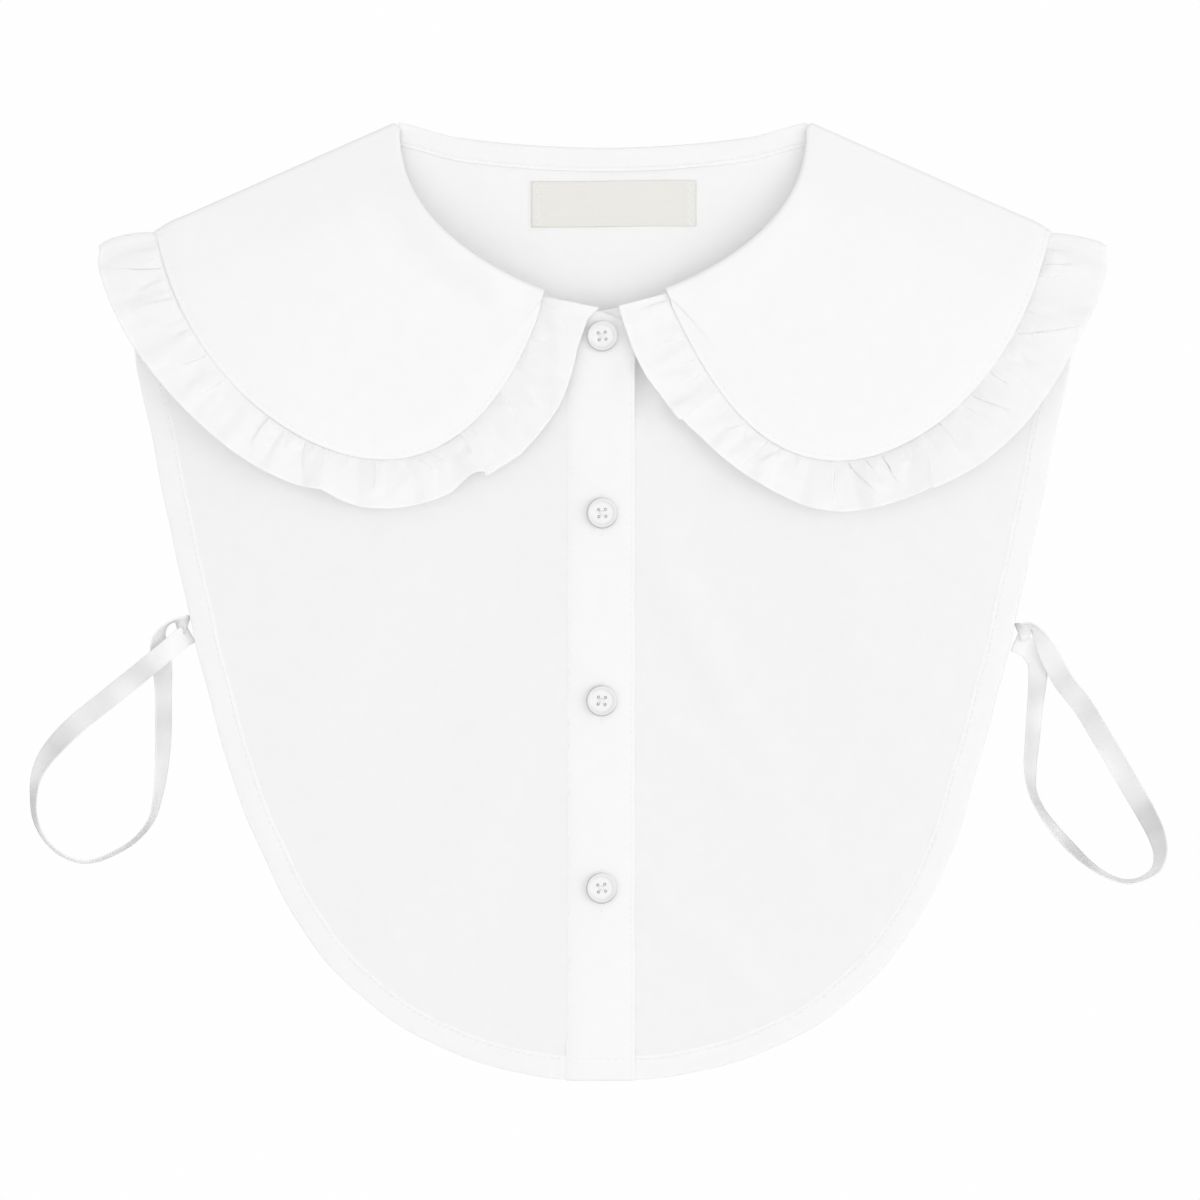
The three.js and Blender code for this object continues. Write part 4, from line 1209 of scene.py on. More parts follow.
@dataclass
class FrontPanel(Bib):
    """One front of the bib, from its shoulder seam and armhole round to the placket."""

    side: Side = Side.LEFT
    centre_x: float = 9.0
    sway: Sway = TUCKED_IN
    drops: tuple[Crease, ...] = ()
    rows: int = 430
    neck_share: float = 11 / 24
    fan_y: float = -60.0
    edge_wave: Ripple = Ripple(0.22, (31.0, 53.0, 83.0), 3)
    stitch_ripple: Ripple = Ripple(0.07, (4.1, 5.7, 7.9, 11.0), 5)
    ripple_width: float = 2.2
    hem_wave: Ripple = Ripple(0.25, (47.0, 71.0), 8)
    wave_reach: float = 12.0
    seam_skip: int = 12

    def _grid(self) -> Cloth:
        """Cuts and lays the panel."""
        pattern = self.pattern
        edge = pattern.bib_edge(0.0, self.centre_x)
        share = np.linspace(0.0, edge.share_at_x(self.centre_x), self.rows)
        neck_stop = pattern.neckline.share_at_x(self.centre_x)
        at = np.linspace(0.0, 1.0, self.rows)
        neck = pattern.bib_neck(np.minimum(at / self.neck_share, 1.0) * neck_stop)
        down = np.clip((at - self.neck_share) / (1.0 - self.neck_share), 0.0, 1.0)
        centre = np.stack([np.full(self.rows, self.centre_x), between(neck[-1, 1], self.fan_y, down)], axis=1)
        inner = np.where((at <= self.neck_share)[:, None], neck, centre)
        along = share * edge.length
        outer = edge.at(share) + edge.outward(share) * self.edge_wave.at(along)[:, None]
        flat = self._fan(edge, share, inner, outer)
        margins = self._all_margins()
        lift = self.stitch_ripple.at(along)[:, None] * bell(margins, self.stitch_in, self.ripple_width)
        lift = lift + self.hem_wave.at(along)[:, None] * (1.0 - smooth_step(margins, 0.0, self.wave_reach))
        lift = lift + pattern.relief(self.side.value * flat[..., 0], flat[..., 1], self.drops)
        front = pattern.laid(flat, lift, self.side, 0.0)
        low = smooth_step(-flat[..., 1], *self.sway.depths)
        front[..., 0] += self.sway.out * low * np.clip(flat[..., 0] / self.sway.full_x, 0.0, 1.0)
        points = np.concatenate([self._seam(flat), front])
        return self._sheet(mirrored(points) if self.side is Side.LEFT else points)

    def build(self, finishes: Finishes, stitches: StitchRun) -> None:
        """Makes the panel and the stitches of its hem."""
        cloth = self._grid()
        side = self.side.name.lower()
        piece = cloth.piece(f"poplin_front_{side}", finishes.poplin, "cotton_poplin")
        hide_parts(f"front_panel_{side}")
        rows = np.arange(len(self.seam_turns) + self.seam_skip, cloth.points.shape[0] - 2, 0.5)
        seam = stitches.along(f"hem_stitches_{side}", cloth, rows, column_at(self.margins, self.stitch_in))


@dataclass
class BackBib(Bib):
    """The back of the bib, whose inside shows in the neck opening."""

    inset: float = 2.0
    rows: int = 170
    ends: Point = (26.0, 1.0)
    neck_settle: float = 0.05
    least_ply: float = 0.25
    clear: float = 0.05
    seam_turns: tuple[float, ...] = (96.0, 114.0, 132.0, 150.0, 166.0)

    def build(self, finishes: Finishes) -> None:
        """Cuts, lays and makes the back bib."""
        pattern = self.pattern
        edge = pattern.bib_edge(self.inset)
        share = np.linspace(0.0, 1.0, self.rows)
        neck_x = pattern.bib_neck(0.0)[0] * (1.0 - share)
        settled = pattern.back_neck(neck_x) - pattern.neck_setback
        neck_y = between(pattern.bib_neck(0.0)[1], settled, smooth_step(share, 0.0, self.neck_settle))
        flat = self._fan(edge, share, np.stack([neck_x, neck_y], axis=1), edge.at(share))
        laid = pattern.at_height(flat, pattern.back_z(flat[..., 1]))
        half = np.concatenate([self._seam(flat), laid])
        whole = np.concatenate([half, mirrored(half)[-2::-1]])
        # The hem stays above the table, where the cloth's wall is at its thickest.
        whole[..., 2] = np.maximum(whole[..., 2], self.hem / 2 + self.clear)
        cloth = self._sheet(whole, self.least_ply)
        piece = cloth.piece("poplin_back_bib", finishes.poplin, "cotton_poplin")
        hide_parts("back_bib")


class Ray(NamedTuple):
    """A slanting crease beside a button: its height, place and spread in y, and the x it rises over."""

    high: float
    place: float
    spread: float
    rise: Point


@dataclass
class Placket:
    """The button placket: a folded strip down the centre front, stitched along both edges."""

    pattern: Pattern
    left: float = -13.3
    right: float = 11.5
    top_left: float = 105.0
    top_right: float = 99.5
    bottom: float = -172.8
    # The top edge rises a little at the middle, and its fold curls up.
    arch: float = 1.2
    arch_x: float = -0.5
    arch_width: float = 4.5
    top_curl: float = 0.45
    curl_width: float = 0.9
    lift: float = 0.5
    edge_lift: float = 0.2
    lift_reach: Point = (0.6, 6.0)
    left_press: float = 0.14
    press_reach: Point = (0.3, 2.4)
    hem_lift: float = 0.8
    hem_depths: Point = (157.0, 164.0)
    # The right edge gapes a little between the ruffle and the second button.
    gape: float = 1.8
    gape_low: Point = (55.0, 82.0)
    gape_high: Point = (-98.0, -90.0)
    gape_across: Point = (1.0, 11.5)
    edge_wave: Ripple = Ripple(0.12, (37.0, 61.0), 21)
    wave_depth: float = 3.0
    stitch_ripple: Ripple = Ripple(0.05, (4.3, 6.1, 8.7), 31)
    ripple_width: float = 1.6
    # The cloth is raised round each button, and creases lead from it to both sides.
    mounds: tuple[float, ...] = (0.65, 0.7, 0.95, 0.6)
    mound_size: float = 9.5
    ray_slope: float = 0.35
    rays: tuple[Ray, ...] = (Ray(0.28, 11.0, 9.0, (8.0, -9.0)), Ray(0.25, -10.0, 12.0, (-8.0, 8.0)))
    pull_reach: Point = (0.4, 5.0)
    wall: float = 0.5
    rim: float = 0.3
    stitch_in: float = 1.3
    groove: float = 0.16
    groove_width: float = 0.35
    hem_y: float = -165.0
    hem_groove: float = 0.14
    hem_groove_width: float = 0.5
    margins: tuple[float, ...] = (0.0, 0.3, 0.7, 1.0, 1.3, 1.6, 2.0, 2.8, 4.2, 6.4, 9.0)
    row_step: float = 0.9
    button_x: float = -0.8
    button_ys: tuple[float, ...] = (95.0, 31.3, -36.4, -103.7)

    def pull(self, x: Array, y: Array) -> Array:
        """How far the buttons and the creases beside them raise the cloth."""
        total = np.zeros(x.shape)
        for y0, mound in zip(self.button_ys, self.mounds):
            away = np.hypot(x - self.button_x, y - y0)
            total += mound * np.exp(-((away / self.mound_size) ** 4))
            slant = (y - y0) + self.ray_slope * (x - self.button_x)
            for ray in self.rays:
                crease = np.exp(-((slant - ray.place) ** 2) / ray.spread)
                total += ray.high * crease * smooth_step(x, *ray.rise)
        return total

    def _height(self, x: Array, y: Array, depth: Array, top: Array) -> Array:
        """The height of the strip's middle.

        Args:
            x: The grid's x.
            y: The grid's y.
            depth: How far in from the nearer edge each column lies.
            top: The y at which each column ends at the top.

        Returns:
            The heights, in rows and columns.
        """
        lift = between(self.edge_lift, self.hem_lift, smooth_step(-y, *self.hem_depths))
        lift = lift + (self.lift - self.edge_lift) * smooth_step(depth, *self.lift_reach)
        lift = lift - self.left_press * (1.0 - smooth_step(x - self.left, *self.press_reach))
        gape = smooth_step(y, *self.gape_low) * smooth_step(-y, *self.gape_high)
        lift = lift + self.gape * gape * smooth_step(x, *self.gape_across)
        ripple = self.stitch_ripple.at(y) * bell(depth, self.stitch_in, self.ripple_width)
        height = self.pattern.front_z(x, y) + self.pattern.relief(x, y) + lift + ripple
        height = height + self.pull(x, y) * smooth_step(depth, *self.pull_reach)
        return height + self.top_curl * bell(top[None, :] - y, 0.0, self.curl_width)

    def build(self, finishes: Finishes, stitches: StitchRun) -> None:
        """Makes the strip and its rows of stitches."""
        width = self.right - self.left
        margins = np.array(self.margins)
        across = np.concatenate([margins, [width / 2], (width - margins)[::-1]])
        rows = int((self.top_left - self.bottom) / self.row_step)
        top = between(self.top_left, self.top_right, across / width)
        top = top + self.arch * bell(self.left + across, self.arch_x, self.arch_width)
        depth = np.minimum(across, width - across)
        y = between(top[None, :], self.bottom, np.linspace(0.0, 1.0, rows)[:, None])
        x = self.left + across + self.edge_wave.at(y) * (depth < self.wave_depth)
        points = np.stack([x, y, self._height(x, y, depth, top)], axis=-1)
        groove = self.groove * bell(depth, self.stitch_in, self.groove_width)
        wall = self.wall - groove[None, :] - self.hem_groove * bell(y, self.hem_y, self.hem_groove_width)
        cloth = Cloth(points, wall * between(self.rim, 1.0, smooth_step(depth, 0.0, 1.0))[None, :], ply=1.0)
        piece = cloth.piece("poplin_placket", finishes.lined, "cotton_poplin")
        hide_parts("button_placket")
        column, last = column_at(self.margins, self.stitch_in), len(across) - 1
        through = np.arange(1.0, rows - 1.5, 0.5)
        hem_row = (self.top_left - self.hem_y) / (self.top_left - self.bottom) * (rows - 1)
        runs = (
            ("left", through, column), ("right", through, last - column),
            ("hem", hem_row, np.arange(0.5, last, 0.25)),
        )
        seams = [stitches.along(f"placket_stitches_{name}", cloth, row, at) for name, row, at in runs]


# The collar leaf and its ruffle


class LeafFront(NamedTuple):
    """One front of the leaf: where it ends, and how it stands up behind its roll.

    corner is its corner at the neckline, with the outline's handle there, and bottom its lowest point.
    crest is how high it stands behind the roll, and dent how deep it sinks again further out.
    """

    corner: Point
    corner_handle: Point
    bottom: Point
    crest: float
    dent: float


LEAF_FRONTS = {
    Side.LEFT: LeafFront((21.2, 108.7), (29.5, 81.0), (78.8, 50.4), 4.0, 1.0),
    Side.RIGHT: LeafFront((22.7, 109.9), (36.0, 80.8), (84.0, 50.0), 1.1, 0.3),
}


def leaf_front_edge(pattern: Pattern, side: Side) -> Outline:
    """The leaf's front outline, from the tip at the shoulder to the corner at the neckline."""
    front = LEAF_FRONTS[side]
    reach = 31.0
    x, y = front.bottom
    return Outline(
        (pattern.leaf_tip, (150.0, 82.0), (x + reach, y), front.bottom),
        (front.bottom, (x - reach, y), front.corner_handle, front.corner),
    )


def leaf_back_edge(pattern: Pattern) -> Outline:
    """The leaf's back outline, from the tip to the middle of the back."""
    return Outline((pattern.leaf_tip, (152.0, 96.0), (70.0, 67.4), (0.0, 67.4)))


def whole_collar(left: Array, right: Array) -> Array:
    """Joins two halves, each listed from its front end to the middle of the back."""
    return np.concatenate([mirrored(left), right[-2::-1]])


@dataclass
class CollarLeaf:
    """The round flat collar leaf: two layers, rolled at the neckline and stitched along its edge."""

    pattern: Pattern
    roll_radius: float = 1.6
    roll_turns: tuple[float, ...] = (118.0, 96.0, 76.0, 58.0, 42.0, 28.0, 14.0)
    wall: float = 0.6
    rim: float = 0.5
    rim_width: float = 0.7
    groove: float = 0.12
    groove_width: float = 0.4
    edge_dip: float = 0.8
    dip_reach: float = 8.0
    crest_place: float = 1.5
    crest_reach: float = 11.0
    dent_place: float = 15.0
    dent_reach: float = 6.5
    # The crest and the dent fade in short rows and towards the shoulder.
    ridge_spans: Point = (20.0, 60.0)
    ridge_depths: Point = (4.0, 42.0)
    stitch_ripple: Ripple = Ripple(0.05, (3.9, 5.3, 7.4, 10.3), 41)
    ripple_width: float = 2.0
    edge_swell: Ripple = Ripple(0.175, (70.0, 110.0), 44)
    swell_shares: Point = (0.75, 1.0)
    last_row: float = 5.0
    front_ends: Point = (14.0, 30.0)
    back_ends: Point = (14.0, 1.0)
    stitch_in: float = 1.7
    margins: tuple[float, ...] = (0.0, 0.3, 0.7, 1.1, 1.4, 1.7, 2.0, 2.4, 3.0, 4.2, 6.0, 9.0)
    inner_columns: int = 22
    front_rows: int = 250
    fold_rows: int = 17
    back_rows: int = 90
    short_row: float = 45.0
    firm_margin: float = 3.0

    @property
    def fold_radius(self) -> float:
        """The radius at which the leaf turns over the shoulder."""
        return self.pattern.bib_fold_radius + 2.0 * self.pattern.layer

    def _rows(
        self, inner: Array, outer: Array, inwards: Array, crest: Any = 0.0, dent: Any = 0.0
    ) -> tuple[Array, Array]:
        """Flat points and lifts of rows, from the edge in and down round the roll.

        Args:
            inner: The rows' ends on the neckline.
            outer: The rows' ends on the leaf's edge.
            inwards: The directions in from the edge.
            crest: How high the leaf stands behind its roll.
            dent: How deep it sinks again further out.

        Returns:
            The flat points, and how far each lies above the leaf's layer.
        """
        span = np.linalg.norm(inner - outer, axis=1)
        margins = np.array(self.margins)[None, :]
        shrink = np.minimum(1.0, span / self.short_row)[:, None]
        margins = np.where(margins > self.firm_margin, between(self.firm_margin, margins, shrink), margins)
        margins = margins * np.minimum(1.0, span / self.margins[-1])[:, None]
        near = outer[:, None, :] + inwards[:, None, :] * margins[..., None]
        along = unit(outer - inner)
        start = inner + along * self.roll_radius
        share = np.arange(1, self.inner_columns + 1) / self.inner_columns
        far = between(near[:, -1:, :], start[:, None, :], share[None, :, None])
        turns = np.radians(self.roll_turns)[::-1]
        reach = self.roll_radius * (1.0 - np.sin(turns))
        roll = inner[:, None, :] + along[:, None, :] * reach[None, :, None]
        flat = np.concatenate([near, far, roll], axis=1)
        from_neck = np.linalg.norm(flat - inner[:, None, :], axis=-1)
        ridge = crest * bell(from_neck, self.crest_place, self.crest_reach)
        ridge = ridge - dent * bell(from_neck, self.dent_place, self.dent_reach)
        ridge = ridge * smooth_step(span, *self.ridge_spans)[:, None]
        beyond = np.full((len(span), flat.shape[1] - margins.shape[1]), WELL_INSIDE)
        depth = np.concatenate([margins, beyond], axis=1)
        lift = ridge - self.edge_dip * (1.0 - smooth_step(depth, 0.0, self.dip_reach))
        lift[:, -len(turns):] += -self.roll_radius * (1.0 - np.cos(turns))[None, :]
        return flat, lift

    def _half(self, side: Side) -> Array:
        """The leaf's rows on one side, from its front corner to the middle of the back."""
        pattern = self.pattern
        edge = leaf_front_edge(pattern, side)
        ends = LEAF_FRONTS[side]
        share = np.linspace(1.0, 0.0, self.front_rows)
        inner = pattern.neckline.at(share * pattern.neckline.share_at_x(ends.corner[0]))
        edge_share = share * (1.0 - self.last_row / edge.length)
        inwards = edge_directions(edge, edge_share[::-1], inner[::-1], self.front_ends)[::-1]
        depth = pattern.depth_from_shoulder(inner[:, 0], inner[:, 1])
        rise = smooth_step(depth, *self.ridge_depths)[:, None]
        flat, lift = self._rows(inner, edge.at(edge_share), inwards, rise * ends.crest, rise * ends.dent)
        along = edge_share * edge.length
        near_edge = lift[:, : len(self.margins)]
        stitched = bell(np.array(self.margins), self.stitch_in, self.ripple_width)
        near_edge += self.stitch_ripple.at(along)[:, None] * stitched
        near_edge += (self.edge_swell.at(along) * (1.0 - smooth_step(share, *self.swell_shares)))[:, None]
        front = pattern.laid(flat, lift, side, 2.0 * pattern.layer)
        front[..., :2] = pattern.eased(flat, self.fold_radius)
        out = pattern.shoulder_out
        fold = pattern.over_shoulder(flat[-1], lift[-1], self.fold_radius, out, self.fold_rows)
        back_edge = leaf_back_edge(pattern)
        back_share = np.linspace(0.0, 1.0, self.back_rows)
        x = pattern.neck_end[0] * (1.0 - back_share)
        back_inner = np.stack([x, pattern.back_neck(x)], axis=1)
        back_in = edge_directions(back_edge, back_share, back_inner, self.back_ends)
        back_flat, back_lift = self._rows(back_inner, back_edge.at(back_share), back_in)
        # The back lies face down on the table, so what stands up from the leaf would sink into it.
        back_lift = np.minimum(back_lift, 0.0)
        back = pattern.at_height(back_flat, pattern.shoulder_z - self.fold_radius - back_lift)
        return np.concatenate([front, fold, back])

    def build(self, finishes: Finishes, stitches: StitchRun) -> None:
        """Makes the leaf and the stitches along its edge."""
        points = whole_collar(self._half(Side.LEFT), self._half(Side.RIGHT))
        depth = padded(self.margins, points.shape[1])
        wall = self.wall - self.groove * bell(depth, self.stitch_in, self.groove_width)
        wall = wall * between(self.rim, 1.0, smooth_step(depth, 0.0, self.rim_width))
        cloth = Cloth(points, wall[None, :], ply=1.0)
        piece = cloth.piece("poplin_leaf", finishes.lined, "cotton_poplin")
        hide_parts("collar_leaf")
        column = column_at(self.margins, self.stitch_in)
        first = np.arange(6.0, self.front_rows + self.fold_rows - 4.0, 0.5)
        last = points.shape[0] - 1 - first[::-1]
        seams = [
            stitches.along(f"leaf_stitches_{name}", cloth, rows, column)
            for name, rows in (("left", first), ("right", last))
        ]


class Fold(NamedTuple):
    """A fold of the ruffle, which may lap over itself.

    place is where it leaves the seam, in millimetres from the front corner, and lean how far it moves
    on by the free edge. span is how much of the seam it takes, lap how far the cloth is pushed back
    under itself, and high how far it stands up. reach is the share of the ruffle's width that it
    runs across, and over is 1 where the cloth on the shoulder's side lies on top, otherwise -1.
    """

    place: float
    lean: float
    span: float
    lap: float
    high: float
    reach: float
    over: int

    def moves(self, along: Array, across: Array) -> tuple[Array, Array]:
        """How far the fold pushes points back along the seam, and how far it raises them."""
        fade = 1.0 - smooth_step(across, max(LEAST_FADE, self.reach - FADE_WIDTH), self.reach + FADE_END)
        u = (along - self.place - self.lean * np.maximum(across, 0.0)) / (0.5 * self.span)
        bend = np.where(np.abs(u) < 1.0, np.sin(math.pi * u) * (1.0 - u * u), 0.0)
        top = self.over * u
        crest = smooth_step(top, *CREST_RISE) * (1.0 - smooth_step(top, *CREST_FALL))
        return self.lap * bend * fade, self.high * crest * fade


class Swell(NamedTuple):
    """A broad wave of the ruffle: its place, height at the free edge, width, and share at the seam."""

    place: float
    high: float
    wide: float
    seam: float

    def height(self, along: Array, across: Array) -> Array:
        """How far the wave raises points."""
        offset = np.clip((along - self.place) / self.wide, -0.5, 0.5)
        return self.high * np.cos(math.pi * offset) ** 2 * between(self.seam, 1.0, across)


class Puff(NamedTuple):
    """A round pocket that the gathers push up beside the seam: its place, half length, reach and height."""

    place: float
    wide: float
    reach: float
    high: float

    def height(self, along: Array, across: Array) -> Array:
        """How far the pocket raises points."""
        inside = 1.0 - ((along - self.place) / self.wide) ** 2 - (np.maximum(across, 0.0) / self.reach) ** 2
        return self.high * smooth_step(inside, 0.0, PUFF_RISE)


# Where a fold fades out across the width, and how its crest rises and falls, in half spans
LEAST_FADE = 0.1
FADE_WIDTH = 0.35
FADE_END = 0.02
CREST_RISE = (-0.3, 0.34)
CREST_FALL = (0.4, 2.0)
PUFF_RISE = 0.4

FOLDS: dict[Side, tuple[Fold, ...]] = {
    Side.LEFT: tuple(Fold(*sizes) for sizes in (
        (3, 2, 6, 0.5, 0.7, 0.6, 1), (16, -5, 6, 0.6, 0.8, 0.45, -1), (20, -3, 5, 0.5, 0.6, 0.35, 1),
        (37, 9, 8, 1.0, 1.1, 0.85, 1), (58.4, 1, 9, 1.9, 1.6, 1.3, 1), (72, -12, 6, 0.9, 0.9, 0.6, 1),
        (77, -14, 6, 0.9, 0.9, 0.55, 1), (90.6, 0, 6, 1.5, 1.2, 0.8, 1), (101, -3, 5, 0.5, 0.6, 0.3, -1),
        (108, -2, 7, 1.3, 1.3, 1.3, 1), (117, -6, 6, 0.7, 0.8, 0.8, -1), (128, 1, 5, 0.5, 0.6, 0.3, 1),
        (132, 0, 7, 1.1, 1.0, 0.75, -1), (153, 3, 6, 1.0, 0.9, 0.7, 1), (163.6, 5, 6, 1.2, 0.9, 0.7, 1),
        (175, 1, 5, 0.6, 0.6, 0.4, -1), (187, 5, 6, 0.9, 0.8, 0.7, -1), (194, 3, 4, 0.5, 0.5, 0.4, -1),
        (198.5, 5, 6, 0.9, 0.9, 1.0, -1), (202.5, 1, 3.5, 0.5, 0.6, 0.45, -1),
        (205.5, 0.5, 3.0, 0.4, 0.6, 0.5, -1),
    )),
    Side.RIGHT: tuple(Fold(*sizes) for sizes in (
        (2.5, 1, 5, 0.6, 0.7, 0.7, 1), (18.5, -6, 7, 0.8, 0.9, 0.65, -1), (26, -4, 4, 0.5, 0.6, 0.35, 1),
        (31, -1, 5, 0.6, 0.7, 0.45, -1), (39.5, 0, 7, 1.5, 1.0, 1.3, -1), (47, 1, 4, 0.5, 0.6, 0.4, 1),
        (55, -8, 6, 0.9, 0.9, 0.7, -1), (65, -3, 7, 1.4, 1.1, 1.0, -1), (71, -9, 6, 0.8, 0.9, 0.75, 1),
        (81, -1, 5, 0.6, 0.6, 0.35, -1), (90, -1, 4.5, 0.6, 0.8, 1.1, -1), (94, 12, 6, 1.2, 1.1, 0.8, 1),
        (100, 12, 5, 0.7, 0.8, 0.5, 1), (107, 3, 6, 1.3, 1.1, 0.75, 1),
        (122.5, -5, 8, 1.5, 1.4, 1.3, -1), (130.5, -1, 6, 1.5, 1.3, 0.85, -1),
        (141, 6, 5, 0.7, 0.8, 0.55, 1), (145.5, 8, 6, 1.3, 1.1, 0.75, 1),
        (156.5, 1, 5, 1.2, 1.0, 0.5, 1), (167.5, 10, 5, 0.5, 0.8, 0.55, -1),
        (172.5, 13, 8, 1.6, 1.5, 1.3, 1), (182.5, -1, 4.5, 0.7, 0.7, 0.4, 1),
        (199.5, 5, 6, 1.1, 1.0, 0.7, -1), (204.5, 1, 4, 0.7, 0.9, 0.5, -1),
    )),
}

SWELLS: dict[Side, tuple[Swell, ...]] = {
    Side.LEFT: tuple(Swell(*sizes) for sizes in (
        (7, 1.6, 9, 0.6), (24, 1.3, 8, 0.7), (40, 2.2, 9, 0.5), (60, 2.6, 10, 0.3), (76, 1.3, 8, 0.7),
        (91, 2.0, 9, 0.5), (108, 2.4, 9, 0.4), (122, 1.5, 8, 0.6), (138, 2.1, 9, 0.5),
        (156, 1.4, 9, 0.6), (172, 1.6, 9, 0.5), (189, 1.4, 9, 0.6), (203, 1.7, 8, 0.5),
    )),
    Side.RIGHT: tuple(Swell(*sizes) for sizes in (
        (6, 1.3, 9, 0.6), (21, 1.5, 8, 0.7), (38, 2.3, 10, 0.4), (54, 1.5, 8, 0.6), (69, 2.2, 9, 0.4),
        (85, 2.0, 9, 0.5), (101, 2.4, 9, 0.5), (119, 2.5, 9, 0.4), (136, 1.8, 9, 0.6),
        (152, 1.5, 8, 0.6), (169, 2.2, 10, 0.4), (187, 1.5, 9, 0.6), (202, 1.8, 8, 0.5),
    )),
}

PUFFS: dict[Side, tuple[Puff, ...]] = {
    Side.LEFT: (Puff(189, 7.5, 0.78, 0.9), Puff(52, 4.5, 0.55, 0.7), Puff(120, 3.5, 0.4, 0.6)),
    Side.RIGHT: (Puff(200.5, 5.6, 0.34, 1.5), Puff(113, 4.5, 0.5, 0.8), Puff(60, 4, 0.4, 0.7)),
}

# The ruffle's width at places along the leaf's edge, in millimetres from the front corner
RUFFLE_WIDTHS: dict[Side, tuple[Point, ...]] = {
    Side.LEFT: (
        (0, 20.3), (4, 17.3), (12, 17.2), (22, 19.4), (31, 20.7), (49, 20), (56, 18.3), (60, 17.2),
        (62.5, 14.2), (66, 15), (70, 16.9), (84, 17.5), (94, 17.5), (101, 15.9), (106, 14), (109, 15.2),
        (113, 16.1), (126, 17.3), (150, 18.4), (166, 19.8), (182, 21.7), (195, 22.7), (203, 23.1),
        (207, 22.6), (209, 21.2),
    ),
    Side.RIGHT: (
        (0, 17.5), (4, 18.2), (14, 19.5), (22, 19.6), (30, 18.6), (38, 18), (41, 16.9), (48, 15.6),
        (60, 15), (70, 15.1), (76, 15.8), (84, 17.5), (92, 18.3), (104, 18), (116, 18), (120, 19),
        (133, 20.7), (149, 21.6), (183, 21.4), (187, 21.7), (192, 22.8), (201, 22.9), (207, 21.9),
        (209, 20.8),
    ),
}

# How far the ruffle's free edge stands off the panels, at places from the front corner
FREE_LIFTS: dict[Side, tuple[Point, ...]] = {
    Side.LEFT: (
        (0, 0.5), (20, 1.6), (45, 3.8), (70, 4.8), (100, 7.5), (125, 9.2), (145, 9.0), (165, 6.2), (180, 3.8),
        (200, 2.2), (212, 1),
    ),
    Side.RIGHT: (
        (0, 3.0), (14, 3.4), (40, 4.4), (60, 6.0), (85, 7.2), (110, 8.8), (150, 7.6), (185, 3.6),
        (200, 2), (212, 1),
    ),
}

# How far each tip's turned edge bows out past a straight line, in millimetres
TIP_BOWS: dict[Side, float] = {Side.LEFT: 1.5, Side.RIGHT: 0.8}

# The direction of the ruffle's front end, which carries on from the neckline
FRONT_ENDS: dict[Side, Point] = {Side.LEFT: (-0.981, -0.192), Side.RIGHT: (-0.966, -0.258)}


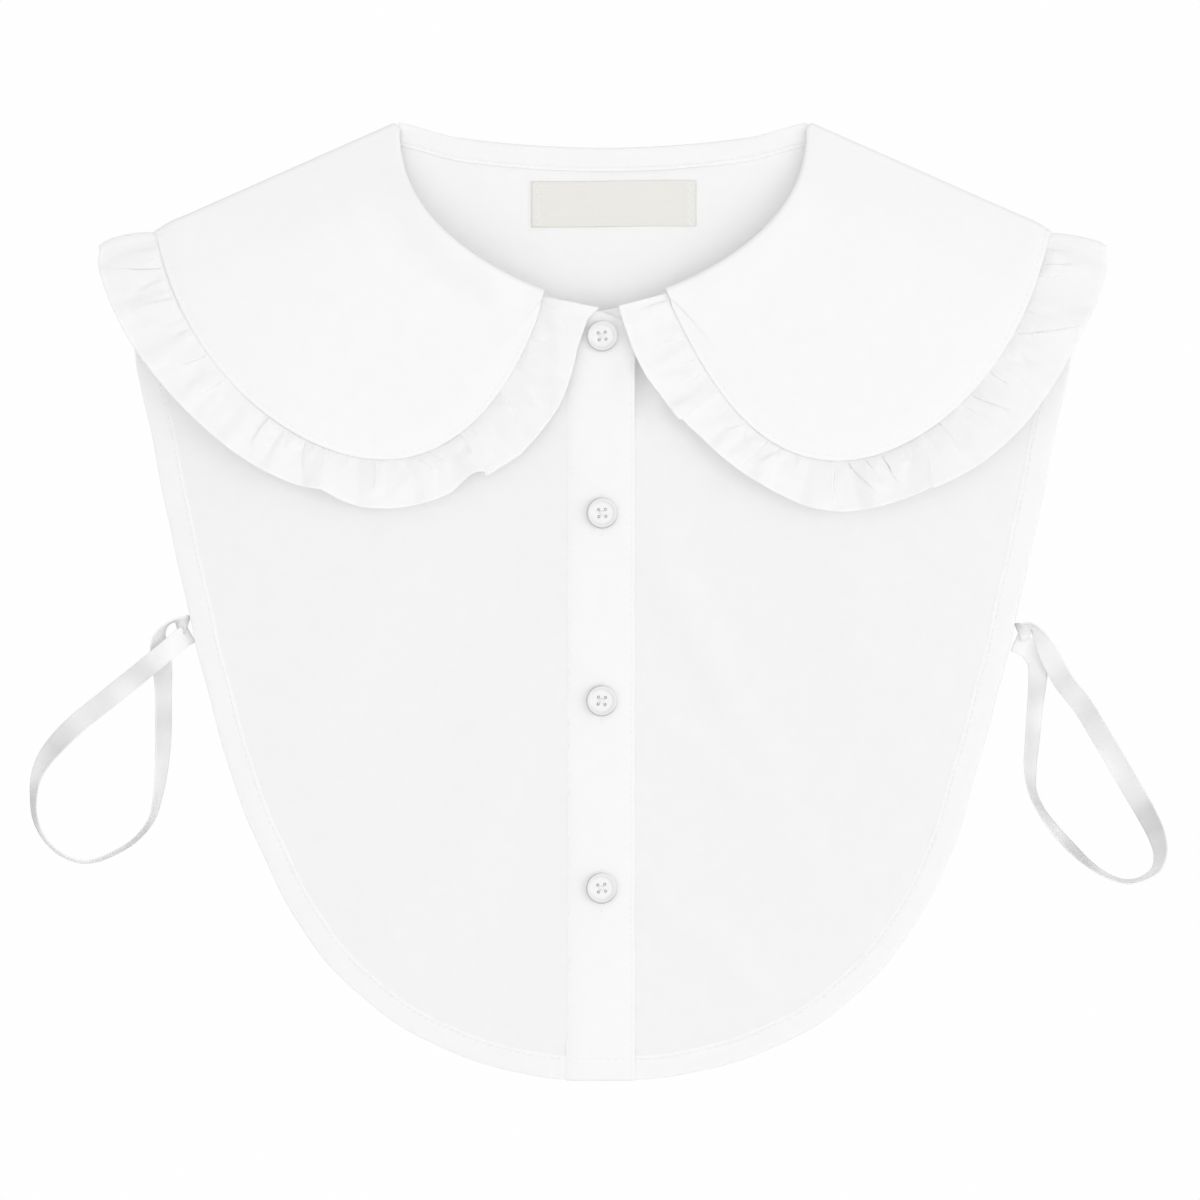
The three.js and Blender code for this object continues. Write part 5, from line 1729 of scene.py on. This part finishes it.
@dataclass
class Ruffle:
    """The gathered strip that is sewn under the leaf's edge, pressed fairly flat."""

    pattern: Pattern
    wall: float = 0.45
    hem: float = 0.56
    hem_limits: Point = (0.8, 1.5)
    plies: Point = (0.3, 0.1)
    # How far the two columns under the leaf are tucked in
    tucked: Point = (4.0, 1.4)
    fold_turn: float = 13.0
    fold_reach: float = 14.0
    back_width: float = 18.0
    back_wave: float = 0.9
    back_wave_length: float = 17.0
    width_blur: float = 1.0
    placket_clear: float = 0.85
    placket_edges: Point = (-13.3, 11.5)
    climb: Point = (1.5, 7.5)
    open_shares: Point = (-0.01, 0.14)
    fold_share: float = 0.85
    swell_share: float = 0.62
    belly: float = 0.9
    belly_power: float = 0.8
    stand_power: float = 1.15
    seam_dip: float = 0.3
    dip_decay: float = 0.16
    hem_ripple: Ripple = Ripple(0.06, (5.1, 8.3, 13.7), 61)
    ripple_lean: float = 3.0
    calm_reach: float = 6.0
    corner_cut: float = 0.7
    corner_shares: Point = (0.82, 1.0)
    front_turn: float = 16.0
    shares: tuple[float, ...] = (
        0.0, 0.03, 0.07, 0.12, 0.18, 0.24, 0.31, 0.38, 0.45, 0.52, 0.59, 0.66, 0.73, 0.79, 0.84, 0.87,
        0.9, 0.94, 0.975, 1.0,
    )
    row_step: float = 0.36
    fold_rows: int = 16
    back_rows: int = 120
    usual_width: float = 19.0
    gathers: int = 80
    tip_gathers: int = 9
    # How far from the tip its own gathers begin and end
    tip_zone: Point = (15.0, 1.5)
    # The least and most width, height, decay and lean of a gather
    gather_spans: tuple[Point, ...] = ((0.7, 1.7), (0.25, 0.75), (0.1, 0.32), (-5.0, 5.0))
    dimples: int = 80
    dimple_shares: Point = (0.1, 0.8)
    # The least and most length, width, turn and height of a dimple
    dimple_spans: tuple[Point, ...] = ((2.5, 6.5), (0.9, 1.8), (-0.9, 0.9), (-0.6, 0.65))
    seed: int = 7

    @property
    def fold_radius(self) -> float:
        """The radius at which the ruffle turns over the shoulder."""
        return self.pattern.bib_fold_radius + self.pattern.layer

    def _fold_axes(self) -> tuple[Array, Array]:
        """The direction of the ruffle's own shoulder fold, and the one in which it bulges."""
        turn = math.radians(self.fold_turn)
        x, y = self.pattern.shoulder_run
        run = np.array([x * math.cos(turn) - y * math.sin(turn), x * math.sin(turn) + y * math.cos(turn)])
        return run, np.array([-run[1], run[0]])

    def _across(self) -> Array:
        """Shares of the width at the columns, negative where the strip is tucked under the leaf."""
        return np.concatenate([-np.array(self.tucked) / self.back_width, self.shares])

    def _width(self, along: Array, side: Side) -> Array:
        """The ruffle's width at places along the leaf's edge, without sharp changes."""
        spread = np.linspace(-self.width_blur, self.width_blur, 7)[:, None]
        return np.interp(along + spread, *np.transpose(RUFFLE_WIDTHS[side])).mean(axis=0)

    def _gathered(self, along: Array, across: Array, side: Side) -> Array:
        """The height of the random gathers beside the seam and of the dimples further out."""
        q, out = along[:, None], np.maximum(across, 0.0)
        random = np.random.default_rng(self.seed + side.value)
        places = random.uniform(0.0, along[-1], self.gathers)
        tip = random.uniform(along[-1] - self.tip_zone[0], along[-1] - self.tip_zone[1], self.tip_gathers)
        lift = np.zeros((len(along), across.shape[1]))
        for place in np.append(places, tip):
            wide, high, decay, lean = (random.uniform(*span) for span in self.gather_spans)
            lift += high * bell(q - place - lean * out, 0.0, wide) * np.exp(-out / decay)
        for _ in range(self.dimples):
            place, middle = random.uniform(0.0, along[-1]), random.uniform(*self.dimple_shares)
            long, wide, turn, high = (random.uniform(*span) for span in self.dimple_spans)
            beside, down = q - place, (across - middle) * self.usual_width
            run = beside * math.sin(turn) + down * math.cos(turn)
            side_step = beside * math.cos(turn) - down * math.sin(turn)
            lift += high * np.exp(-((run / long) ** 2) - (side_step / wide) ** 2)
        return lift

    def _shape(self, along: Array, side: Side) -> tuple[Array, Array]:
        """How the folds, swells and gathers move the cloth.

        Args:
            along: Distances of the rows from the front corner.
            side: The half.

        Returns:
            How far each point moves along the seam, and how far up.
        """
        across = self._across()[None, :]
        out = np.maximum(across, 0.0)
        q = along[:, None]
        moves = [fold.moves(q, across) for fold in FOLDS[side]]
        shift = -sum(pushed for pushed, _ in moves)
        lift = self.fold_share * sum(raised for _, raised in moves)
        lift += self.swell_share * sum(swell.height(q, across) for swell in SWELLS[side])
        lift += sum(puff.height(q, across) for puff in PUFFS[side])
        lift += self._gathered(along, across, side) - self.seam_dip * np.exp(-out / self.dip_decay)
        open_share = smooth_step(across, *self.open_shares)
        shift, lift = shift * open_share, lift * open_share
        stand = np.interp(q, *np.transpose(FREE_LIFTS[side]))
        lift += np.sin(math.pi * out**self.belly_power) * self.belly + stand * out**self.stand_power
        return shift, lift + self.hem_ripple.at(q + self.ripple_lean * across) * out

    def _tip_bow(self, side: Side) -> Array:
        """How far the tip's turned edge lies out past a straight line, with its outer corner cut round."""
        across = np.maximum(self._across(), 0.0)
        bow = 4.0 * TIP_BOWS[side] * across * (1.0 - across)
        return bow - self.corner_cut * smooth_step(across, *self.corner_shares) ** 2

    def _seat(self, flat: Array, side: Side) -> Array:
        """How far above the front panels' middle the ruffle lies, climbing over the placket."""
        x = side.value * flat[..., 0]
        beside = np.maximum(0.0, np.maximum(self.placket_edges[0] - x, x - self.placket_edges[1]))
        return self.pattern.layer + self.placket_clear * (1.0 - smooth_step(beside, *self.climb))

    def _front(self, along: Array, edge: Outline, side: Side) -> Array:
        """The ruffle's rows on one front, at distances from its front corner."""
        pattern = self.pattern
        run, out = self._fold_axes()
        shift, lift = self._shape(along, side)
        calm = (1.0 - smooth_step(along, edge.length - self.calm_reach, edge.length))[:, None]
        at = np.clip(along[:, None] + shift * calm, 0.0, edge.length)
        share = 1.0 - at / edge.length
        near = smooth_step(at, edge.length - self.fold_reach, edge.length)
        outward = unit(between(edge.outward(share), run, near[..., None]))
        begin = smooth_step(at, 0.0, self.front_turn)[..., None]
        outward = unit(between(np.array(FRONT_ENDS[side]), outward, begin))
        flat = edge.at(share) + outward * (self._width(along, side)[:, None] * self._across())[..., None]
        start = self.fold_radius * math.sin(pattern.fold_start)
        front = pattern.laid(flat, lift * calm + self._seat(flat, side), side, 0.0)
        front[..., :2] = flat + out * (near**3 * (self._tip_bow(side)[None, :] + start))[..., None]
        return front

    def _back(self, along: Array, edge: Outline, side: Side, tip_width: float) -> Array:
        """The ruffle's rows on one side of the back, at distances from its tip."""
        pattern = self.pattern
        run, out = self._fold_axes()
        across = self._across()
        share = along / edge.length
        turn = 1.0 - smooth_step(along, 0.0, self.fold_reach)
        outward = unit(between(edge.outward(share), run, turn[:, None]))
        width = between(self.back_width, tip_width, turn)[:, None]
        flat = edge.at(share)[:, None, :] + outward[:, None, :] * (width * across)[..., None]
        flat = flat + out * (turn[:, None] ** 3 * self._tip_bow(side)[None, :])[..., None]
        wave = np.sin(math.pi * along / self.back_wave_length) ** 2 * (1.0 - turn)
        lift = self.back_wave * wave[:, None] * np.maximum(across, 0.0)[None, :]
        return pattern.at_height(flat, pattern.shoulder_z - self.fold_radius - lift)

    def _half(self, side: Side) -> tuple[Array, Array]:
        """The ruffle's rows on one side, and how far along the strip each lies."""
        pattern = self.pattern
        edge, back_edge = leaf_front_edge(pattern, side), leaf_back_edge(pattern)
        along = np.linspace(0.0, edge.length, int(edge.length / self.row_step))
        back_along = np.linspace(0.0, back_edge.length, self.back_rows)
        run, out = self._fold_axes()
        tip_width = float(self._width(along[-1:], side)[0])
        tip = np.array(pattern.leaf_tip) + run * (tip_width * self._across())[:, None]
        tip = tip + out * self._tip_bow(side)[:, None]
        fold = pattern.over_shoulder(tip, 0.0, self.fold_radius, out, self.fold_rows)
        back = self._back(back_along, back_edge, side, tip_width)
        arc = math.pi * self.fold_radius
        turned = arc * np.arange(1, self.fold_rows + 1) / self.fold_rows
        lengths = np.concatenate([along, edge.length + turned, edge.length + arc + back_along])
        return np.concatenate([self._front(along, edge, side), fold, back]), lengths

    def build(self, finishes: Finishes) -> None:
        """Makes the ruffle."""
        left, left_along = self._half(Side.LEFT)
        right, right_along = self._half(Side.RIGHT)
        along = np.concatenate([left_along, 2.0 * left_along[-1] - right_along[-2::-1]])
        across = self._across() * self.usual_width
        weave = np.stack(np.broadcast_arrays(along[:, None], across[None, :]), axis=-1)
        inside = smooth_step(self.usual_width - across, *self.hem_limits)
        wall, ply = between(self.hem, self.wall, inside), between(*self.plies, inside)
        cloth = Cloth(whole_collar(left, right), wall[None, :], weave, ply[None, :])
        piece = cloth.piece("poplin_ruffle", finishes.poplin, "cotton_poplin")
        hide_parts("collar_ruffle")


# The inside of the back neck


@dataclass
class NeckFacing:
    """The band along the inside of the back neckline, stitched along its lower edge."""

    pattern: Pattern
    width: float = 8.2
    end_x: float = 73.4
    corner_rise: float = 2.0
    corner_x: float = 50.0
    wall: float = 0.5
    above: float = 0.7
    # The top edge rolls down, and the band waves a little along its length.
    roll: float = 0.5
    roll_limits: Point = (6.0, 8.2)
    wave: float = 0.12
    wave_length: float = 13.0
    stitch_ripple: Ripple = Ripple(0.06, (4.6, 6.9, 10.1), 71)
    ripple_width: float = 1.8
    stitch_in: float = 1.3
    groove: float = 0.25
    groove_width: float = 0.35
    margins: tuple[float, ...] = (0.0, 0.3, 0.7, 1.0, 1.3, 1.6, 2.0, 3.0, 4.5, 6.2, 7.4, 8.2)
    rows: int = 180

    def build(self, finishes: Finishes, stitches: StitchRun) -> None:
        """Makes the band and its stitches."""
        x = np.linspace(-self.end_x, self.end_x, self.rows)[:, None]
        up = np.array(self.margins)[None, :]
        y = self.pattern.back_neck(x) - self.width + up
        y = y + self.corner_rise * smooth_step(np.abs(x), self.corner_x, self.end_x)
        ripple = self.stitch_ripple.at(x) * bell(up, self.stitch_in, self.ripple_width)
        roll = self.roll * smooth_step(up, *self.roll_limits)
        wave = self.wave * np.sin(x / self.wave_length)
        height = self.pattern.back_z(y) + self.above + ripple - roll + wave
        points = self.pattern.at_height(np.stack(np.broadcast_arrays(x, y), axis=-1), height)
        wall = self.wall - self.groove * bell(up, self.stitch_in, self.groove_width)
        cloth = Cloth(points, wall, ply=0.6)
        piece = cloth.piece("poplin_neck_facing", finishes.poplin, "cotton_poplin")
        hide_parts("neck_facing")
        rows = np.arange(1.0, self.rows - 1.5, 0.5)
        seam = stitches.along("facing_stitches", cloth, rows, column_at(self.margins, self.stitch_in))


@dataclass
class NeckLabel:
    """The woven label in the back neck, bare, with its two ends held by zigzag stitches."""

    pattern: Pattern
    width: float = 59.0
    height: float = 16.3
    centre: Point = (3.9, 142.5)
    slant: float = 0.25
    slant_bend: float = 5.0
    wall: float = 0.45
    # Each end is turned under, and thicker as far as its turning reaches.
    turned: float = 4.5
    turned_wall: float = 1.35
    above: float = 0.6
    # The middle bows up from the ends and the sides, unevenly, and the stitches pucker the ends.
    bow: float = 0.35
    bow_ends: Point = (1.0, 9.0)
    bow_sides: Point = (-1.0, 5.0)
    bow_least: float = 0.7
    bow_length: float = 7.0
    pucker: float = 0.1
    pucker_length: float = 1.9
    pucker_in: float = 3.0
    pucker_width: float = 2.5
    zigzag_in: float = 2.2
    zigzag_wide: float = 2.4
    zigzag_pitch: float = 1.5
    zigzag_margin: float = 0.4
    zigzag_thick: float = 0.3
    zigzag_overlap: float = 1.08
    rows: int = 90
    columns: int = 34

    def build(self, finishes: Finishes, stitches: StitchRun) -> None:
        """Makes the label and the stitches at its ends."""
        u = np.linspace(-0.5, 0.5, self.rows)[:, None]
        v = np.linspace(-0.5, 0.5, self.columns)[None, :]
        x = self.centre[0] + u * self.width + 0.0 * v
        y = self.centre[1] + v * self.height + self.slant * np.sin(u * self.slant_bend)
        from_end = (0.5 - np.abs(u)) * self.width
        from_side = (0.5 - np.abs(v)) * self.height
        bow = self.bow * smooth_step(from_end, *self.bow_ends) * smooth_step(from_side, *self.bow_sides)
        bow = bow * (self.bow_least + (1.0 - self.bow_least) * np.sin(x / self.bow_length))
        pucker = self.pucker * np.sin(y / self.pucker_length)
        pucker = pucker * bell(from_end, self.pucker_in, self.pucker_width)
        height = self.pattern.back_z(y) + self.above + bow + pucker
        points = np.stack(np.broadcast_arrays(x, y, height), axis=-1)
        cloth = Cloth(points, self.wall * np.where(from_end < self.turned, self.turned_wall, 1.0))
        piece = cloth.piece("damask_label", finishes.label, "woven_label")
        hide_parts("neck_label")
        steps = int(self.height / self.zigzag_pitch)
        columns = np.linspace(self.zigzag_margin, self.columns - 1 - self.zigzag_margin, steps + 1)
        swing = np.where(np.arange(steps + 1) % 2, 0.5, -0.5) * self.zigzag_wide
        first = (self.zigzag_in + swing) / self.width * (self.rows - 1)
        for name, rows in (("left", first), ("right", self.rows - 1 - first)):
            line, normals = cloth.trace(rows, columns)
            middles, steps_between = (line[1:] + line[:-1]) / 2, np.diff(line, axis=0)
            span = float(np.linalg.norm(steps_between, axis=1).mean())
            stitches.sew(
                f"label_zigzag_{name}", middles, unit(steps_between), unit(normals[1:] + normals[:-1]),
                "woven_label", length=span * self.zigzag_overlap, thick=self.zigzag_thick,
            )


# Buttons and buttonholes


@dataclass
class ShirtButton:
    """A four-hole shirt button with a rounded rim and a dished middle, and the thread that holds it."""

    radius: float = 5.6
    height: float = 2.2
    undercut: float = 0.8
    rim: float = 0.9
    slope: float = 0.55
    dish: float = 0.6
    floor_rim: float = 0.9
    floor_dip: float = 0.12
    rounding: float = 0.3
    sink: float = 0.5
    # The ring of painted shade round the outline: its middle is moved right and up, so that it is thickest on
    # the lower left, where the shadow falls
    painted_shade_shift: Point = (0.17, 0.1)
    painted_shade_ring: Point = (5.2, 5.62)
    hole_radius: float = 0.56
    hole_pitch: float = 2.5
    sides: int = 72
    centres: tuple[Point, ...] = ((-0.3, 94.7), (-0.3, 31.2), (-0.45, -36.2), (-0.5, -103.5))
    turns: tuple[float, ...] = (8.0, 3.0, -4.0, 6.0)
    strand_thick: float = 0.42
    strand_short: float = 0.9
    strand_apart: float = 0.17
    strand_rise: float = 0.16
    strand_step: float = 0.24
    plug_depth: float = 1.1
    plug_length: float = 1.0
    plug_thick: float = 0.9

    def _inset(self, button: Object, thickness: float, depth: float) -> None:
        """Insets the round face that looks up, in edit mode."""
        bpy.ops.object.mode_set(mode="OBJECT")
        for part in (*button.data.vertices, *button.data.edges, *button.data.polygons):
            part.select = False
        faces = [p for p in button.data.polygons if p.normal.z > 0.9 and len(p.vertices) == self.sides]
        max(faces, key=lambda p: p.center.z).select = True
        bpy.ops.object.mode_set(mode="EDIT")
        bpy.ops.mesh.inset(thickness=thickness * MM, depth=depth * MM)

    def _model(self) -> Object:
        """Models one button on the table at the origin, by hand tools."""
        bpy.ops.object.select_all(action="DESELECT")
        bpy.ops.mesh.primitive_cone_add(
            vertices=self.sides, radius1=(self.radius - self.undercut) * MM, radius2=self.radius * MM,
            depth=self.height * MM, location=(0.0, 0.0, self.height / 2 * MM),
        )
        button = bpy.context.object
        bpy.ops.object.transform_apply(location=True, rotation=False, scale=False)
        bpy.ops.object.mode_set(mode="EDIT")
        bpy.ops.mesh.select_mode(type="FACE")
        insets = ((self.rim, 0.0), (self.slope, -self.dish), (self.floor_rim, -self.floor_dip))
        for thickness, depth in insets:
            self._inset(button, thickness, depth)
        bpy.ops.object.mode_set(mode="OBJECT")
        for step in ((1, 1), (-1, 1), (-1, -1), (1, -1)):
            self._drill(button, step)
        bevel = button.modifiers.new("rounding", "BEVEL")
        bevel.width = self.rounding * MM
        bevel.segments = 4
        bevel.limit_method = "ANGLE"
        bevel.angle_limit = math.radians(40.0)
        bevel.use_clamp_overlap = True
        bpy.context.view_layer.objects.active = button
        bpy.ops.object.modifier_apply(modifier=bevel.name)
        button.select_set(True)
        bpy.ops.object.shade_smooth_by_angle(angle=math.radians(50.0))
        # Paints the shade ring: 0 inside its inner radius and 1 past its outer one, where the finish darkens
        # the colour
        places = np.array([v.co[:2] for v in button.data.vertices]) / MM - np.array(self.painted_shade_shift)
        edge = smooth_step(np.hypot(places[:, 0], places[:, 1]), *self.painted_shade_ring)
        button.data.attributes.new(PAINTED_EDGE_SHADE, "FLOAT", "POINT").data.foreach_set("value", edge.astype(np.float32))
        return button

    def _drill(self, button: Object, step: tuple[int, int]) -> None:
        """Cuts one thread hole."""
        bpy.ops.object.select_all(action="DESELECT")
        half = self.hole_pitch / 2 * MM
        bpy.ops.mesh.primitive_cylinder_add(
            vertices=20, radius=self.hole_radius * MM, depth=4 * self.height * MM,
            location=(step[0] * half, step[1] * half, 0.0),
        )
        drill = bpy.context.object
        cut = button.modifiers.new("hole", "BOOLEAN")
        cut.operation, cut.solver, cut.object = "DIFFERENCE", "EXACT", drill
        bpy.context.view_layer.objects.active = button
        bpy.ops.object.modifier_apply(modifier=cut.name)
        bpy.data.objects.remove(drill)

    def build(self, finishes: Finishes, stitches: StitchRun) -> None:
        """Makes the four buttons and the crossed threads in their holes."""
        model = self._model()
        for number, ((x, y), turn) in enumerate(zip(self.centres, self.turns), start=1):
            low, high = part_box(f"button_{number}")
            spin = Matrix.Rotation(math.radians(turn), 4, "Z")
            mesh = model.data.copy()
            mesh.transform(Matrix.Translation((x * MM, y * MM, low[2] - self.sink * MM)) @ spin)
            piece = new_piece(f"shirt_button_{number}", mesh, finishes.resin)
            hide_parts(f"button_{number}")
            top = np.array([x, y, high[2] / MM - self.sink])
            self._thread(number, top, math.radians(turn), stitches)
        bpy.data.objects.remove(model)

    def _thread(self, number: int, top: Array, turn: float, stitches: StitchRun) -> None:
        """Crosses two strands of thread each way between the holes, and fills the holes' bottoms."""
        middles, runs = [], []
        for layer, angle in enumerate((turn + math.pi / 4, turn + 3 * math.pi / 4)):
            run = np.array([math.cos(angle), math.sin(angle), 0.0])
            rise = -self.dish + self.strand_rise + self.strand_step * layer
            for strand in (-1, 1):
                middles.append(top + np.cross(UP, run) * self.strand_apart * strand + UP * rise)
                runs.append(run)
        reach = self.hole_pitch / math.sqrt(2.0)
        ups = np.tile(UP, (4, 1))
        stitches.sew(
            f"button_thread_{number}", np.array(middles), np.array(runs), ups,
            length=2.0 * reach - self.strand_short, thick=self.strand_thick,
        )
        corners = turn + math.pi / 4 + np.arange(4) * math.pi / 2
        across = np.stack([np.cos(corners), np.sin(corners), np.zeros(4)], axis=1)
        stitches.sew(
            f"hole_thread_{number}", top + reach * across - UP * (self.dish + self.plug_depth), ups, across,
            length=self.plug_length, thick=self.plug_thick,
        )


@dataclass
class Buttonholes:
    """The upright worked buttonholes, whose two ends show above and below the lower buttons."""

    pattern: Pattern
    placket: Placket
    length: float = 14.4
    shift: Point = (0.4, -0.6)
    side_x: float = 0.5775
    side_slant: float = 0.12
    end_gap: float = 0.2
    end_steps: tuple[float, ...] = (-0.3, 0.0, 0.3)
    pitch: float = 0.6
    stitch_length: float = 1.0
    stitch_thick: float = 0.2

    def build(self, stitches: StitchRun) -> None:
        """Works a buttonhole under each of the three lower buttons."""
        x = self.placket.button_x + self.shift[0]
        for number, y0 in enumerate(self.placket.button_ys[1:], start=2):
            ys = np.arange(y0 - self.length / 2, y0 + self.length / 2, self.pitch) + self.shift[1]
            middles = [(x + sign * self.side_x, y) for y in ys for sign in (-1.0, 1.0)]
            runs = [(1.0, sign * self.side_slant, 0.0) for _ in ys for sign in (-1.0, 1.0)]
            for end in (ys[0] - self.end_gap, ys[-1] + self.end_gap):
                middles += [(x, end + step) for step in self.end_steps]
                runs += [(1.0, 0.0, 0.0)] * len(self.end_steps)
            flat = np.array(middles)
            place = flat[:, 0], flat[:, 1]
            height = self.pattern.front_z(*place) + self.placket.lift + self.placket.wall / 2
            height = height + self.placket.pull(*place) + self.pattern.relief(*place)
            stitches.sew(
                f"buttonhole_{number}", np.concatenate([flat, height[:, None]], axis=1),
                unit(np.array(runs)), np.tile(UP, (len(flat), 1)),
                length=self.stitch_length, thick=self.stitch_thick,
            )


def main() -> None:
    """Builds the studio and the collar, piece by piece."""
    logging.basicConfig(level=logging.INFO, format="%(name)s %(message)s")
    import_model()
    studio = Studio()
    studio.set_camera()
    finishes = Finishes()
    for side in Side:
        RibbonLoop(side).build(finishes)
    studio.lay_table()
    studio.light()
    pattern = Pattern()
    stitches = StitchRun(finishes.thread)
    BackBib(pattern).build(finishes)
    FrontPanel(pattern, side=Side.LEFT, centre_x=9.0, sway=TUCKED_IN).build(finishes, stitches)
    right = FrontPanel(pattern, side=Side.RIGHT, centre_x=-6.0, sway=SWUNG_OUT, drops=(PLACKET_DROP,))
    right.build(finishes, stitches)
    placket = Placket(pattern)
    placket.build(finishes, stitches)
    Ruffle(pattern).build(finishes)
    CollarLeaf(pattern).build(finishes, stitches)
    NeckFacing(pattern).build(finishes, stitches)
    NeckLabel(pattern).build(finishes, stitches)
    Buttonholes(pattern, placket).build(stitches)
    ShirtButton().build(finishes, stitches)


if __name__ == "__main__":
    main()
